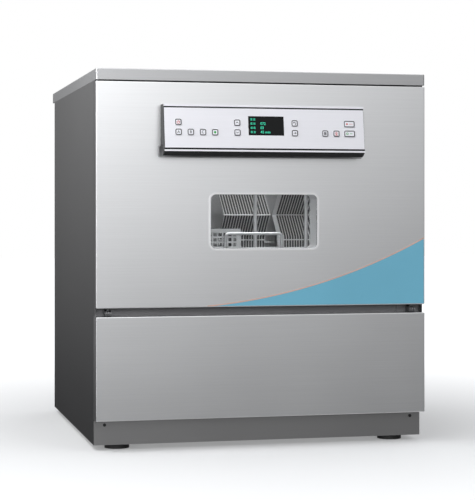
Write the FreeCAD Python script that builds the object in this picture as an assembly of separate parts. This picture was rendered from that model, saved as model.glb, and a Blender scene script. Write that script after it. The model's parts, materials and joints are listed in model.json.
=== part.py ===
import FreeCAD, Part
import math
import os

V = FreeCAD.Vector

# Under-counter laboratory glassware washer. Millimetres, X across, Y from door front to rear, Z up.
# Casing
width = 752.0
height = 835.0
depth = 750.0
worktop_thick = 25.0
worktop_overhang = 40.0
worktop_sheet = 1.5
worktop_corner = 3.0
worktop_edge = 2.0
worktop_rib = 2.0
worktop_rib_pitch = 180.0
worktop_rib_end = 30.0
foot_gap = 12.0
panel_sheet = 1.2
panel_return = 13.2
rear_panel_rise = 8.0
vent_rows = 6
vent_pitch = 14.0
vent_length = 60.0
vent_height = 5.0
vent_spacing = 90.0
vent_corner = 2.4
drain_hole_ease = 1.0
gland_hole_ease = 0.4
seam = 0.3

# Base tray and its skirts
base_sheet = 2.0
skirt_sheet = 1.5
skirt_height = 30.0
spring_hook_half = 3.0

# Front of the casing, from the floor up
kick_height = 56.0
kick_sheet = 1.5
kick_screw_drop = 12.0
service_height = 226.0
service_sheet = 1.5
service_edge = 1.5
hinge_gap = 19.0
door_top_gap = 3.0
front_depth = 36.2

# Chassis frame
frame_sheet = 2.0
frame_return = 21.8
front_leg_sheet = 1.5
front_leg_depth = 19.2
post_leg = 25.0
beam = 20.0
lock_slot_half = 4.0
lock_slot_low = 11.0
lock_slot_high = 31.5
arm_slot_ease = 1.0
arm_slot_rise = 2.0

# Wash chamber
tub_sheet = 1.5
side_space = 94.5
roof_space = 38.5
rear_space = 188.5
sill_height = 20.5
gasket_lap = 8.0
gasket_cover = 2.5
gasket_thick = 7.9
gasket_inner_corner = 4.0
gasket_outer_corner = 16.0
inlet_port_drop = 70.0
feed_gap = 0.3

# Door
skin_sheet = 1.5
skin_depth = 15.5
skin_edge = 2.0
skin_flange = 14.0
skin_round = 1.7
plug_edge = 3.0
liner_margin = 6.0
liner_sill = 3.0
liner_depth = 12.5
liner_sheet = 1.5
plug_depth = 35.0
plug_side_gap = 18.0
plug_sill_gap = 18.0
plug_corner = 8.0

# Window in the door
window_width = 244.0
window_height = 120.0
window_rise = 128.4
window_corner = 12.0
window_wall = 2.0
window_lip = 2.0
window_proud = 1.2
glass_thick = 4.0
glass_gap = 0.3
front_pane = 1.0
rear_pane = 3.0
window_fit = 0.2

# Control housing on the door
housing_width = 453.0
housing_offset = -7.5
housing_drop = 50.0
housing_height = 103.0
housing_reach = 46.5
housing_tilt = 8.29
housing_wall = 3.0
cut_over = 1.0
lip_thick = 21.5
lip_point = 5.0
lip_drop = 9.0
grip_height = 24.0
fascia_thick = 1.5
fascia_margin = 1.0
trim_low = 3.6
trim_high = 5.0
groove_low = 4.0
groove_high = 3.3
key_side = 14.6
wide_key_width = 25.4
wide_key_height = 15.0
key_corner = 1.5
key_proud = 2.4
key_flange = 1.0
key_travel = 0.8
key_gap = 0.3
key_back_gap = 0.2
key_edge = 0.5
key_flange_reach = 1.0
key_row_low = 42.4
key_row_high = 64.3
display_x = -6.2
display_width = 80.0
display_height = 42.5
display_level = 57.6
display_proud = 0.2
display_gap = 0.2
display_ledge = 3.0
module_gap = 0.5
board_depth = 8.0
board_thick = 1.6
board_width = 434.0
board_low = 22.0
board_high = 92.0
board_post = 3.0
board_post_places = [-215.0, -95.0, 90.0, 203.0]
board_post_inset = 6.0
switch_half = 3.0

# Grip pocket sunk in the door under the housing
pocket_width = 466.0
pocket_height = 27.0
pocket_depth = 11.0
pocket_wall = 1.5
pocket_lip = 1.5
pocket_proud = 0.8
pocket_shift = 0.5
pocket_fit = 0.2
pocket_lip_corner = 3.0
pocket_corner = 2.0
pocket_inner_corner = 1.5

# Door hinge, spring and lock
axis_y = 10.0
axis_drop = 12.0
pin_radius = 3.0
pin_fit = 0.05
arm_inset = 28.0
arm_thick = 4.0
arm_eye = 6.3
arm_tail = 51.0
arm_bar = 10.0
arm_leg_length = 129.0
arm_leg_gap = 0.5
lug_thick = 3.0
lug_gap = 1.5
tab_thick = 2.0
tab_inner = 21.5
tab_top_gap = 1.0
pin_head = 1.5
spring_radius = 8.0
spring_wire = 2.0
spring_seat = 56.0
spring_plug = 12.0
lock_x = 14.0
lock_length = 50.0
lock_half = 10.0
lock_rise = 19.5
lock_depth = 15.8
bolt_radius = 3.5
bolt_fit = 0.3
bolt_length = 27.0
bolt_gap = 1.5
bolt_overrun = 2.0
bolt_chamfer = 0.8
strike_thick = 3.0
strike_half = 7.0
strike_reach = 8.0
strike_bar = 3.0

# Racks and rails
rail_width = 12.0
rail_height = 14.0
rail_sheet = 1.5
rail_start = 23.8
rail_end = 20.0
lower_rail_level = 51.0
upper_rail_drop = 170.0
glide_gap = 0.3
glide_side_gap = 1.0
rack_front_gap = 37.0
rack_rear_gap = 28.0
rack_bar = 4.0
rack_pitch = 24.0
rack_wall = 3.0
rack_slot = 9.0
rack_slot_pitch = 12.0
rack_rim = 19.0
lower_rack_height = 66.0
upper_rack_height = 50.0
handle_half = 66.0
handle_radius = 3.0
handle_rise = 7.0
handle_foot = 20.0
handle_bend = 8.0
dock_overlap = 10.0

# Perforated basket for small parts, and the bent wire screens for dishes
parts_left = -205.0
parts_width = 177.0
parts_depth = 100.0
parts_height = 84.0
parts_sheet = 1.5
parts_hole = 3.5
parts_pitch = 12.3
parts_front_gap = 8.0
parts_lift = 0.3
parts_margin = 6.5
comb_plate = 2.0
comb_pitch = 7.0
comb_wire = 2.2
comb_top_gap = 5.0
comb_wide = 118.0
comb_narrow = 90.0
comb_trim = 16.0
comb_side_gap = 12.0
comb_kink_share = 0.65
comb_knee_share = 0.34
comb_foot_rise = 4.0
comb_rod_below = 0.12
comb_rod_gap = 0.1
comb_rod_top = 0.01
comb_rim = 3.0
comb_back = 100.0
comb_foot_back = 55.0
comb_top_back = 17.0
right_comb_back = 120.0
right_comb_foot = 10.0
right_comb_top = 48.0
pillar_places = [-192.0, -64.0, 64.0, 192.0]
pillar_radius = 5.0
pillar_back = 40.0
pillar_gap = 4.0
manifold_half = 200.0

# Spray arms and hubs
arm_front_clear = 12.0
arm_rear_clear = 35.0
arm_width = 34.0
arm_shell = 1.5
post_radius = 11.0
arm_fit = 0.3
arm_hub = 22.0
cap_radius = 18.0
shoulder_radius = 16.0
arm_bottom_level = 27.0
arm_bottom_height = 14.0
arm_middle_height = 12.0
arm_middle_drop = 16.0
arm_top_height = 13.7
arm_top_drop = 21.3
cap_height = 7.7
hub_flange = 20.0
hub_flange_height = 5.0
nozzle_radius = 1.6
nozzle_pitch = 28.0
nozzle_hub_gap = 14.0
nozzle_tip_gap = 12.0
hub_lift = 1.0
feed_radius = 7.0
dock_length = 25.0
dock_wall = 6.0
dock_gap = 1.0

# Sump, filter and heater
sump_radius = 92.0
sump_wall = 2.0
sump_depth = 71.5
sump_ledge = 12.0
filter_radius = 87.7
filter_gap = 0.3
filter_hole = 3.0
filter_sheet = 1.5
cup_radius = 61.5
cup_depth = 58.5
cup_hole_ease = 4.0
filter_rings = [(24, 12), (34, 16), (44, 20), (54, 24), (74, 32)]
suction_forward = 50.0
drain_aside = 15.0
drain_back = 30.0
sump_pipe_ease = 0.2
heater_radius = 4.0
heater_half = 140.0
heater_rise = 8.0
heater_bend = 30.0
heater_front = 130.0
heater_clip_half = 6.0
heater_clip_width = 8.0
heater_clip_front = 60.0
heater_clip_rear = 80.0
heater_fit = 0.2

# Pipes and pumps in the base
pipe_radius = 10.0
pipe_wall = 1.5
pipe_bend = 25.0
roof_bend = 15.0
tee_radius = 12.5
tee_half = 14.0
tee_rise = 15.0
branch_step = 1.0
suction_radius = 17.0
suction_bend = 45.0
hose_wall = 3.0
inlet_hose = 8.0
spigot_length = 17.0
pump_x = -45.0
pump_level = 136.0
volute_radius = 62.0
volute_width = 45.0
motor_radius = 54.0
motor_fin = 4.0
motor_length = 140.0
motor_fins = 18
motor_fin_thick = 2.4
motor_fin_front = 12.0
motor_fin_rear = 20.0
pump_back = 60.0
outlet_offset = 25.0
outlet_wall = 2.5
port_start = 20.0
suction_reach = 15.0
pump_foot_half = 30.0
pump_foot_front = 25.0
pump_foot_rear = 115.0
pump_foot_rise = 8.0
foot_wall = 4.0
foot_floor = 3.0
pump_fit = 0.2
riser_height = 45.0
riser_back = 58.5
roof_pipe_rise = 25.5
outlet_rise = 54.0
drain_pump_radius = 32.0
drain_pump_width = 60.0
drain_pump_x = -172.0
drain_pump_level = 76.0
drain_pump_port = 18.0
drain_pump_outlet = 12.0
drain_motor_length = 50.0
drain_motor_step = 8.0
drain_bracket_half = 25.0
drain_bracket_inset = 5.0
drain_bracket_drop = 10.0
drain_bracket_wall = 3.0
drain_loop_rise = 50.0
drain_loop_back = 60.0
drain_loop_drop = 72.0
drain_bend = 28.0
drain_inside = 20.0
valve_width = 44.0
valve_thread = 13.2
valve_fit = 1.3
valve_level = 146.0
valve_reach = 18.0
valve_x = 180.0
valve_pitch = 70.0
valve_body = 60.0
valve_corner = 6.0
valve_tail = 20.0
valve_thread_wall = 4.0
valve_thread_bore = 30.0
valve_tail_bore = 50.0
coil_half = 15.0
coil_front = 50.0
coil_rear = 18.0
coil_height = 34.0
coil_corner = 3.0
inlet_turn = 30.0
drain_x = -235.0
drain_spigot = 11.0
drain_reach = 35.0
drain_flange = 5.0
drain_flange_thick = 3.0
drain_chamfer = 1.0
drain_level = 136.0
gland_x = -310.0
gland_level = 78.0
gland_radius = 13.0
gland_bore = 6.5
gland_reach = 25.0
gland_thread = 9.8
gland_hex = 8.0
gland_dome_step = 1.0
gland_edge = 3.0
gland_inside = 8.0
gland_nut = 5.0
gland_nut_ease = 0.1
dosing_x = 110.0
dosing_y = 108.0
dosing_width = 160.0
dosing_sheet = 4.0
dosing_height = 166.0
dosing_shelf = 26.0
dosing_shelf_sheet = 3.0
dosing_level = 126.0
dosing_places = [40.0, 120.0]
dosing_head = 30.0
dosing_head_depth = 36.0
dosing_corner = 8.0
dosing_port_x = 12.0
dosing_port_drop = 46.0
dosing_port = 4.0
dosing_shaft = 5.0
dosing_shaft_fit = 0.2
dosing_motor = 25.0
dosing_motor_length = 53.0
control_width = 185.0
control_depth = 160.0
control_height = 166.0
control_inset = 72.0
control_front = 31.8
control_sheet = 2.0
main_board_margin = 12.0
main_board_thick = 1.6
main_board_post = 3.0
main_board_post_inset = 18.0
relay_width = 20.0
relay_depth = 28.0
relay_height = 24.4
relay_front = 30.0
relay_places = [30.0, 70.0, 110.0]

# Feet
foot_x_inset = 58.0
foot_front = 80.0
foot_rear_inset = 50.0
foot_radius = 27.5
foot_pad = 9.7
foot_stud = 4.95
foot_hole = 5.0
foot_edge = 1.5
foot_collar = 8.0
foot_nut_height = 7.0
foot_nut_across = 17.0

# Screws
screw_head = 3.5
screw_head_height = 1.7
screw_shank = 1.9
screw_hole = 2.0
screw_length = 7.0
screw_cross_reach = 2.0
screw_cross_half = 0.4
screw_inset = 23.5
rear_screw_inset = 20.0

# Levels and faces worked out from the sizes above
half = width / 2
base_bottom = foot_gap
base_top = base_bottom + base_sheet
top_level = height - worktop_thick
kick_top = base_bottom + kick_height
service_top = kick_top + service_height
door_low = service_top + hinge_gap
door_high = top_level - door_top_gap
frame_back = front_depth + frame_sheet
panel_in = half - panel_sheet
rear_face = depth - panel_sheet
skirt_in = panel_in - skirt_sheet
skirt_back = rear_face - skirt_sheet
tub_x = half - side_space
tub_in = tub_x - tub_sheet
tub_low = door_low + sill_height
tub_floor = tub_low + tub_sheet
tub_high = top_level - roof_space
tub_ceiling = tub_high - tub_sheet
tub_rear = depth - rear_space
tub_back = tub_rear - tub_sheet
liner_back = skin_depth + liner_depth
plug_back = liner_back + plug_depth
plug_x = tub_in - plug_side_gap
plug_low = tub_floor + plug_sill_gap
plug_high = tub_ceiling - plug_sill_gap
axis_z = door_low - axis_drop
arm_x = half - arm_inset
arm_reach = (tub_back - plug_back - arm_front_clear - arm_rear_clear) / 2
hub_y = plug_back + arm_front_clear + arm_reach
arm_z = tub_floor + arm_bottom_level
middle_rail = tub_ceiling - upper_rail_drop
lower_rail = tub_floor + lower_rail_level
rack_front = plug_back + rack_front_gap
rack_back = tub_back - rack_rear_gap
rack_x = tub_in - rail_width - rack_bar
lower_rack_z = lower_rail + rail_height - rack_bar
upper_rack_z = middle_rail + rail_height - rack_bar
middle_arm_top = upper_rack_z - arm_middle_drop
middle_arm_low = middle_arm_top - arm_middle_height
top_arm_high = tub_ceiling - arm_top_drop
top_arm_low = top_arm_high - arm_top_height
sump_low = tub_low - sump_depth
spigot_low = sump_low - spigot_length
housing_high = door_high - housing_drop
housing_low = housing_high - housing_height
housing_left = housing_offset - housing_width / 2
housing_right = housing_offset + housing_width / 2
tilt = math.radians(housing_tilt)
face_length = housing_height / math.cos(tilt)
grip_roof = housing_low + grip_height - lip_drop
window_low = door_low + window_rise
window_high = window_low + window_height
feet_places = [(s * (half - foot_x_inset), y) for s in (-1, 1) for y in (foot_front, depth - foot_rear_inset)]
rear_screw_z = [base_top + 86.0, (base_top + top_level) / 2, top_level - 50.0]
front_most = housing_reach + fascia_thick * math.cos(tilt)
shift_y = -(depth + worktop_overhang - front_most) / 2

# The keys: name, centre across, level up the face, width, height
key_table = [
    ("key_power", -202.5, key_row_high, key_side, key_side),
    ("key_program_a", -202.5, key_row_low, key_side, key_side),
    ("key_program_b", -175.5, key_row_low, key_side, key_side),
    ("key_program_c", -148.5, key_row_low, key_side, key_side),
    ("key_start", -121.5, key_row_low, key_side, key_side),
    ("key_up", -71.5, key_row_high, key_side, key_side),
    ("key_down", -71.5, key_row_low, key_side, key_side),
    ("key_back", 58.5, key_row_high, key_side, key_side),
    ("key_enter", 58.5, key_row_low, key_side, key_side),
    ("key_print", 127.9, key_row_low, key_side, key_side),
    ("key_service", 153.8, key_row_low, key_side, key_side),
    ("key_stop", 184.3, key_row_high, wide_key_width, wide_key_height),
    ("key_run", 184.3, key_row_low, wide_key_width, wide_key_height),
]


# Basic solids
def box(x0, x1, y0, y1, z0, z1):
    return Part.makeBox(x1 - x0, y1 - y0, z1 - z0, V(x0, y0, z0))


def rod_x(y, z, x0, x1, radius):
    return Part.makeCylinder(radius, x1 - x0, V(x0, y, z), V(1, 0, 0))


def rod_y(x, z, y0, y1, radius):
    return Part.makeCylinder(radius, y1 - y0, V(x, y0, z), V(0, 1, 0))


def rod_z(x, y, z0, z1, radius):
    return Part.makeCylinder(radius, z1 - z0, V(x, y, z0), V(0, 0, 1))


def ring_y(x, z, y0, y1, outer, inner):
    return rod_y(x, z, y0, y1, outer).cut(rod_y(x, z, y0, y1, inner))


def edges_at_end(shape, y):
    return [e for e in shape.Edges if e.BoundBox.YMin > y - 0.01]


def edges_along(shape, direction):
    return [e for e in shape.Edges if abs(e.tangentAt(e.FirstParameter).dot(direction)) > 0.99]


def rounded_y(x0, x1, y0, y1, z0, z1, radius):
    block = box(x0, x1, y0, y1, z0, z1)
    return block.makeFillet(radius, edges_along(block, V(0, 1, 0)))


def rounded_z(x0, x1, y0, y1, z0, z1, radius):
    block = box(x0, x1, y0, y1, z0, z1)
    return block.makeFillet(radius, edges_along(block, V(0, 0, 1)))


def prism_x(points, x0, x1):
    corners = [V(x0, y, z) for y, z in points]
    corners.append(corners[0])
    return Part.Face(Part.makePolygon(corners)).extrude(V(x1 - x0, 0, 0))


def mirrored(shape):
    return shape.mirror(V(0, 0, 0), V(1, 0, 0))


def both_sides(shapes):
    return shapes + [mirrored(s) for s in shapes]


def fused(shapes):
    return shapes[0].fuse(shapes[1:]).removeSplitter()


def hexagon_y(x, z, y0, y1, across):
    corner = across / math.sqrt(3)
    points = [V(x + corner * math.cos(a), y0, z + corner * math.sin(a)) for a in sixths()]
    points.append(points[0])
    return Part.Face(Part.makePolygon(points)).extrude(V(0, y1 - y0, 0))


def hexagon_z(x, y, z0, z1, across):
    corner = across / math.sqrt(3)
    points = [V(x + corner * math.cos(a), y + corner * math.sin(a), z0) for a in sixths()]
    points.append(points[0])
    return Part.Face(Part.makePolygon(points)).extrude(V(0, 0, z1 - z0))


def sixths():
    return [math.radians(60 * k) for k in range(6)]


def plate_with_holes(corner, along, up, length, rise, thick, holes):
    # A flat plate from one corner, with rectangular holes given as (a0, a1, b0, b1)
    def outline(a0, a1, b0, b1):
        points = [(a0, b0), (a1, b0), (a1, b1), (a0, b1), (a0, b0)]
        return Part.makePolygon([corner + along * a + up * b for a, b in points])
    wires = [outline(0, length, 0, rise)] + [outline(*h) for h in holes]
    face = Part.makeFace(wires, "Part::FaceMakerBullseye")
    return face.extrude(thick)


def perforated_plate(corner, along, up, length, rise, thick, radius, pitch, margin):
    # A flat plate with a regular field of round holes inside a margin
    normal = V(thick)
    normal.normalize()
    wires = [Part.makePolygon([corner, corner + along * length, corner + along * length + up * rise,
                               corner + up * rise, corner])]
    for a in spaced(margin, length - margin, pitch):
        for b in spaced(margin, rise - margin, pitch):
            circle = Part.Circle(corner + along * a + up * b, normal, radius)
            wires.append(Part.Wire(circle.toShape()))
    return Part.makeFace(wires, "Part::FaceMakerBullseye").extrude(thick)


def spaced(start, end, pitch):
    # Even steps near the pitch that fill the span
    count = max(1, int(round((end - start) / pitch)))
    return [start + (end - start) * k / count for k in range(count + 1)]


def cells(start, end, pitch, bar):
    # Gaps between bars that fill the span, as pairs
    count = max(1, int(round((end - start - bar) / pitch)))
    step = (end - start - bar) / count
    return [(start + bar + step * k, start + step * (k + 1)) for k in range(count)]


def path(points, bend):
    edges = []
    start = points[0]
    for before, corner, after in zip(points, points[1:], points[2:]):
        toward = (corner - before).normalize()
        away = (after - corner).normalize()
        turn = toward.getAngle(away)
        trim = bend * math.tan(turn / 2)
        first = corner - toward * trim
        last = corner + away * trim
        inward = (away - toward).normalize()
        centre = corner + inward * (bend / math.cos(turn / 2))
        edges.append(Part.LineSegment(start, first).toShape())
        edges.append(Part.Arc(first, centre - inward * bend, last).toShape())
        start = last
    edges.append(Part.LineSegment(start, points[-1]).toShape())
    return Part.Wire(edges)


def bar_along(points, radius, bend):
    route = path(points, bend)
    start = points[0]
    direction = points[1] - points[0]
    section = Part.Wire(Part.Circle(start, direction, radius).toShape())
    return route.makePipeShell([section], True, False)


def pipe_along(points, radius, wall, bend):
    return bar_along(points, radius, bend).cut(bar_along(points, radius - wall, bend))


def screw(x, y, z, inward):
    # Pan head with a cross recess, seated at y and pointing along inward (+1 or -1)
    head = Part.makeCylinder(screw_head, screw_head_height, V(x, y, z), V(0, -inward, 0))
    shank = Part.makeCylinder(screw_shank, screw_length, V(x, y, z), V(0, inward, 0))
    face = y - inward * screw_head_height
    low, high = sorted((face, face + inward * screw_head_height / 2))
    a = screw_cross_reach
    b = screw_cross_half
    return head.fuse(shank).cut([box(x - a, x + a, low, high, z - b, z + b),
                                 box(x - b, x + b, low, high, z - a, z + a)])


# Casing
def worktop():
    outer = rounded_z(-half, half, 0, depth + worktop_overhang, top_level, height, worktop_corner)
    rim = [e for e in outer.Edges if e.BoundBox.ZMin > height - 0.01]
    outer = outer.makeFillet(worktop_edge, rim)
    inset = worktop_sheet
    rear = depth + worktop_overhang - inset
    hollow = rounded_z(-half + inset, half - inset, inset, rear, top_level, height - inset,
                       worktop_corner - inset)
    pan = rounded_z(-half + inset, half - inset, inset, rear, top_level, top_level + inset,
                    worktop_corner - inset)
    ribs = [box(-half + 2 * inset, half - 2 * inset, y, y + worktop_rib, top_level + inset, height - inset)
            for y in spaced(worktop_rib_end, rear - worktop_rib_end, worktop_rib_pitch)]
    return [outer.cut(hollow), pan] + ribs


def side_panel():
    sheet = box(panel_in, half, frame_back, depth, base_bottom, top_level)
    rear_return = box(half - panel_return, panel_in, rear_face, depth, base_bottom, top_level)
    return sheet.fuse(rear_return).removeSplitter()


def valve_places():
    return [valve_x, valve_x + valve_pitch]


def rear_panel():
    edge = half - panel_return - seam
    sheet = box(-edge, edge, rear_face, depth, base_bottom + rear_panel_rise, top_level)
    holes = [rod_y(x, base_top + valve_level, rear_face, depth, valve_thread + valve_fit)
             for x in valve_places()]
    holes.append(rod_y(drain_x, base_top + drain_level, rear_face, depth, drain_spigot + drain_hole_ease))
    holes.append(rod_y(gland_x, base_bottom + gland_level, rear_face, depth, gland_thread + gland_hole_ease))
    for s in (-1, 1):
        holes += [rod_y(s * (half - rear_screw_inset), z, rear_face, depth, screw_hole) for z in rear_screw_z]
    for row in range(vent_rows):
        z = tub_floor + vent_pitch * row
        for x in (-vent_spacing, 0, vent_spacing):
            holes.append(rounded_y(x - vent_length / 2, x + vent_length / 2, rear_face, depth,
                                   z, z + vent_height, vent_corner))
    return sheet.cut(holes)


def base_tray():
    plate = box(-panel_in, panel_in, frame_back, rear_face, base_bottom, base_top)
    left = box(-panel_in, -skirt_in, frame_back, rear_face, base_top, base_top + skirt_height)
    right = mirrored(left)
    rear = box(-skirt_in, skirt_in, skirt_back, rear_face, base_top, base_top + skirt_height)
    tray = fused([plate, left, right, rear])
    tray = tray.cut([rod_z(x, y, base_bottom, base_top, foot_hole) for x, y in feet_places])
    hook = box(arm_x - spring_radius / 2, arm_x + spring_radius / 2, spring_y() - spring_hook_half,
               spring_y() + spring_hook_half, base_top, base_top + spring_seat)
    return [tray] + both_sides([hook])


def spring_y():
    return axis_y + arm_tail - arm_eye


def chassis_frame():
    stile = box(tub_x, half, front_depth, frame_back, base_bottom, top_level)
    slot_high = axis_z + arm_tail + arm_slot_rise
    slot_half = arm_thick / 2 + arm_slot_ease
    stile = stile.cut(box(arm_x - slot_half, arm_x + slot_half, front_depth, frame_back, service_top,
                          slot_high))
    stile = stile.cut(rod_y(half - screw_inset, kick_top - kick_screw_drop, front_depth, frame_back,
                            screw_hole))
    inner_return = box(tub_x, tub_x + frame_sheet, frame_back, frame_back + frame_return,
                       base_top + skirt_height, top_level)
    front_leg = box(half - front_leg_sheet, half, front_depth - front_leg_depth, front_depth,
                    service_top, top_level)
    post_x = skirt_in - post_leg
    rear_leg = box(post_x, skirt_in, skirt_back - frame_sheet, skirt_back, base_top, top_level)
    side_leg = box(skirt_in - frame_sheet, skirt_in, skirt_back - post_leg, skirt_back - frame_sheet,
                   base_top, top_level)
    holes = [rod_y(half - rear_screw_inset, z, skirt_back - frame_sheet, skirt_back, screw_hole)
             for z in rear_screw_z]
    rear_leg = rear_leg.cut(holes)
    cross_front = skirt_back - frame_sheet - beam
    tub_beam = box(tub_in - beam, tub_in, frame_back, cross_front, tub_low - beam, tub_low)
    top_rail = box(-tub_x, tub_x, front_depth, frame_back, tub_high, top_level)
    lock_slot = box(-lock_slot_half, lock_slot_half, front_depth, frame_back,
                    tub_high + lock_slot_low, tub_high + lock_slot_high)
    top_return = box(-tub_x, tub_x, frame_back, frame_back + frame_return, top_level - frame_sheet, top_level)
    low_rail = box(-tub_x, tub_x, front_depth, frame_back, service_top, tub_low)
    low_return = box(-tub_x, tub_x, frame_back, frame_back + frame_return, service_top,
                     service_top + frame_sheet)
    rear_rail = box(-post_x, post_x, skirt_back - frame_sheet, skirt_back, top_level - beam, top_level)
    cross = box(-skirt_in + frame_sheet, skirt_in - frame_sheet, cross_front, skirt_back - frame_sheet,
                tub_low - beam, tub_low)
    solids = both_sides([stile, inner_return, front_leg, rear_leg, side_leg, tub_beam])
    return solids + [top_rail.cut(lock_slot), top_return, low_rail, low_return, rear_rail, cross]


def kick_plate():
    plate = box(-half, half, front_depth - kick_sheet, front_depth, base_bottom, kick_top)
    z = kick_top - kick_screw_drop
    holes = [rod_y(s * (half - screw_inset), z, front_depth - kick_sheet, front_depth, screw_hole)
             for s in (-1, 1)]
    return plate.cut(holes)


def service_panel():
    outer = box(-half, half, 0, front_depth, kick_top, service_top)
    outer = outer.makeFillet(service_edge, [e for e in outer.Edges if e.BoundBox.YMax < 0.01])
    inner = box(-half + service_sheet, half - service_sheet, service_sheet, front_depth,
                kick_top + service_sheet, service_top - service_sheet)
    return outer.cut(inner)


def fixing_screws():
    z = kick_top - kick_screw_drop
    solids = [screw(s * (half - screw_inset), front_depth - kick_sheet, z, 1) for s in (-1, 1)]
    for s in (-1, 1):
        solids += [screw(s * (half - rear_screw_inset), depth, level, -1) for level in rear_screw_z]
    return solids


def levelling_feet():
    solids = []
    for x, y in feet_places:
        pad = rod_z(x, y, 0, foot_pad, foot_radius)
        pad = pad.makeFillet(foot_edge, [e for e in pad.Edges if e.BoundBox.ZMin > foot_pad - 0.01])
        collar = rod_z(x, y, foot_pad, base_bottom, foot_collar)
        stud = rod_z(x, y, base_bottom, base_top + skirt_height, foot_stud)
        nut = hexagon_z(x, y, base_top, base_top + foot_nut_height, foot_nut_across)
        solids.append(fused([pad, collar, stud, nut]))
    return solids


# Wash chamber and what is fixed in it
def wash_chamber():
    side = box(tub_in, tub_x, front_depth, tub_rear, tub_low, tub_high)
    floor = box(-tub_in, tub_in, front_depth, tub_rear, tub_low, tub_floor)
    floor = floor.cut(rod_z(0, hub_y, tub_low, tub_floor, filter_radius + filter_gap))
    ceiling = box(-tub_in, tub_in, front_depth, tub_rear, tub_ceiling, tub_high)
    ceiling = ceiling.cut(rod_z(0, hub_y, tub_ceiling, tub_high, pipe_radius - pipe_wall))
    back = box(-tub_in, tub_in, tub_back, tub_rear, tub_floor, tub_ceiling)
    holes = [rod_y(x, inlet_port(), tub_back, tub_rear, inlet_hose - hose_wall) for x in valve_places()]
    holes.append(rod_y(0, feed_level(), tub_back, tub_rear, feed_radius))
    return both_sides([side]) + [floor, ceiling, back.cut(holes)]


def inlet_port():
    return tub_ceiling - inlet_port_drop


def feed_level():
    return upper_rack_z - feed_radius - feed_gap


def door_gasket():
    inner = rounded_y(-tub_x - gasket_cover, tub_x + gasket_cover, front_depth - gasket_thick, front_depth,
                      tub_low - gasket_cover, tub_high + gasket_cover, gasket_inner_corner)
    reach = gasket_cover + gasket_lap
    outer = rounded_y(-tub_x - reach, tub_x + reach, front_depth - gasket_thick, front_depth,
                      tub_low - reach, tub_high + reach, gasket_outer_corner)
    return outer.cut(inner)


def rack_rail(level):
    bar = box(tub_in - rail_width, tub_in, frame_back + rail_start - frame_sheet, tub_back - rail_end,
              level, level + rail_height)
    groove = box(tub_in - rail_width, tub_in - rail_sheet, 0, tub_rear,
                 level + rail_sheet, level + rail_height - rail_sheet)
    return bar.cut(groove)


def rack_rails():
    return both_sides([rack_rail(lower_rail), rack_rail(middle_rail)])


def sump():
    bowl = rod_z(0, hub_y, sump_low, tub_low, sump_radius)
    hollow = rod_z(0, hub_y, sump_low + sump_wall, tub_low - sump_wall, sump_radius - sump_wall)
    mouth = rod_z(0, hub_y, tub_low - sump_wall, tub_low, sump_radius - sump_ledge)
    bowl = bowl.cut([hollow, mouth])
    suction = rod_z(pump_x, suction_y(), spigot_low, sump_low, suction_radius)
    drain = rod_z(drain_spigot_x(), drain_spigot_y(), spigot_low, sump_low, pipe_radius)
    holes = [rod_z(pump_x, suction_y(), spigot_low, sump_low + sump_wall, suction_radius - hose_wall),
             rod_z(drain_spigot_x(), drain_spigot_y(), spigot_low, sump_low + sump_wall,
                   pipe_radius - hose_wall),
             rod_z(0, hub_y, sump_low, sump_low + sump_wall, pipe_radius + sump_pipe_ease)]
    return fused([bowl, suction, drain]).cut(holes)


def suction_y():
    return hub_y - suction_forward


def drain_spigot_x():
    return pump_x - drain_aside


def drain_spigot_y():
    return hub_y + drain_back


def sump_filter():
    disc = rod_z(0, hub_y, tub_low, tub_low + filter_sheet, filter_radius)
    cup = rod_z(0, hub_y, tub_low - cup_depth, tub_low, cup_radius)
    cup = cup.cut(rod_z(0, hub_y, tub_low - cup_depth + filter_sheet, tub_low, cup_radius - filter_sheet))
    holes = [rod_z(0, hub_y, tub_low - cup_depth, tub_low + filter_sheet, pipe_radius + cup_hole_ease)]
    for radius, count in filter_rings:
        for k in range(count):
            angle = 2 * math.pi * k / count
            holes.append(rod_z(radius * math.cos(angle), hub_y + radius * math.sin(angle),
                               tub_low, tub_low + filter_sheet, filter_hole))
    return fused([disc, cup]).cut(holes)


def heater_element():
    z = tub_floor + heater_rise
    front = hub_y - heater_front
    loop = bar_along([V(-heater_half, tub_back, z), V(-heater_half, front, z), V(heater_half, front, z),
                      V(heater_half, tub_back, z)], heater_radius, heater_bend)
    clips = []
    for y in (front + heater_clip_front, tub_back - heater_clip_rear):
        y0 = y - heater_clip_width / 2
        y1 = y + heater_clip_width / 2
        clip = box(heater_half - heater_clip_half, heater_half + heater_clip_half, y0, y1, tub_floor, z)
        clips.append(clip.cut(rod_y(heater_half, z, y0, y1, heater_radius + heater_fit)))
    return [loop] + both_sides(clips)


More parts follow.
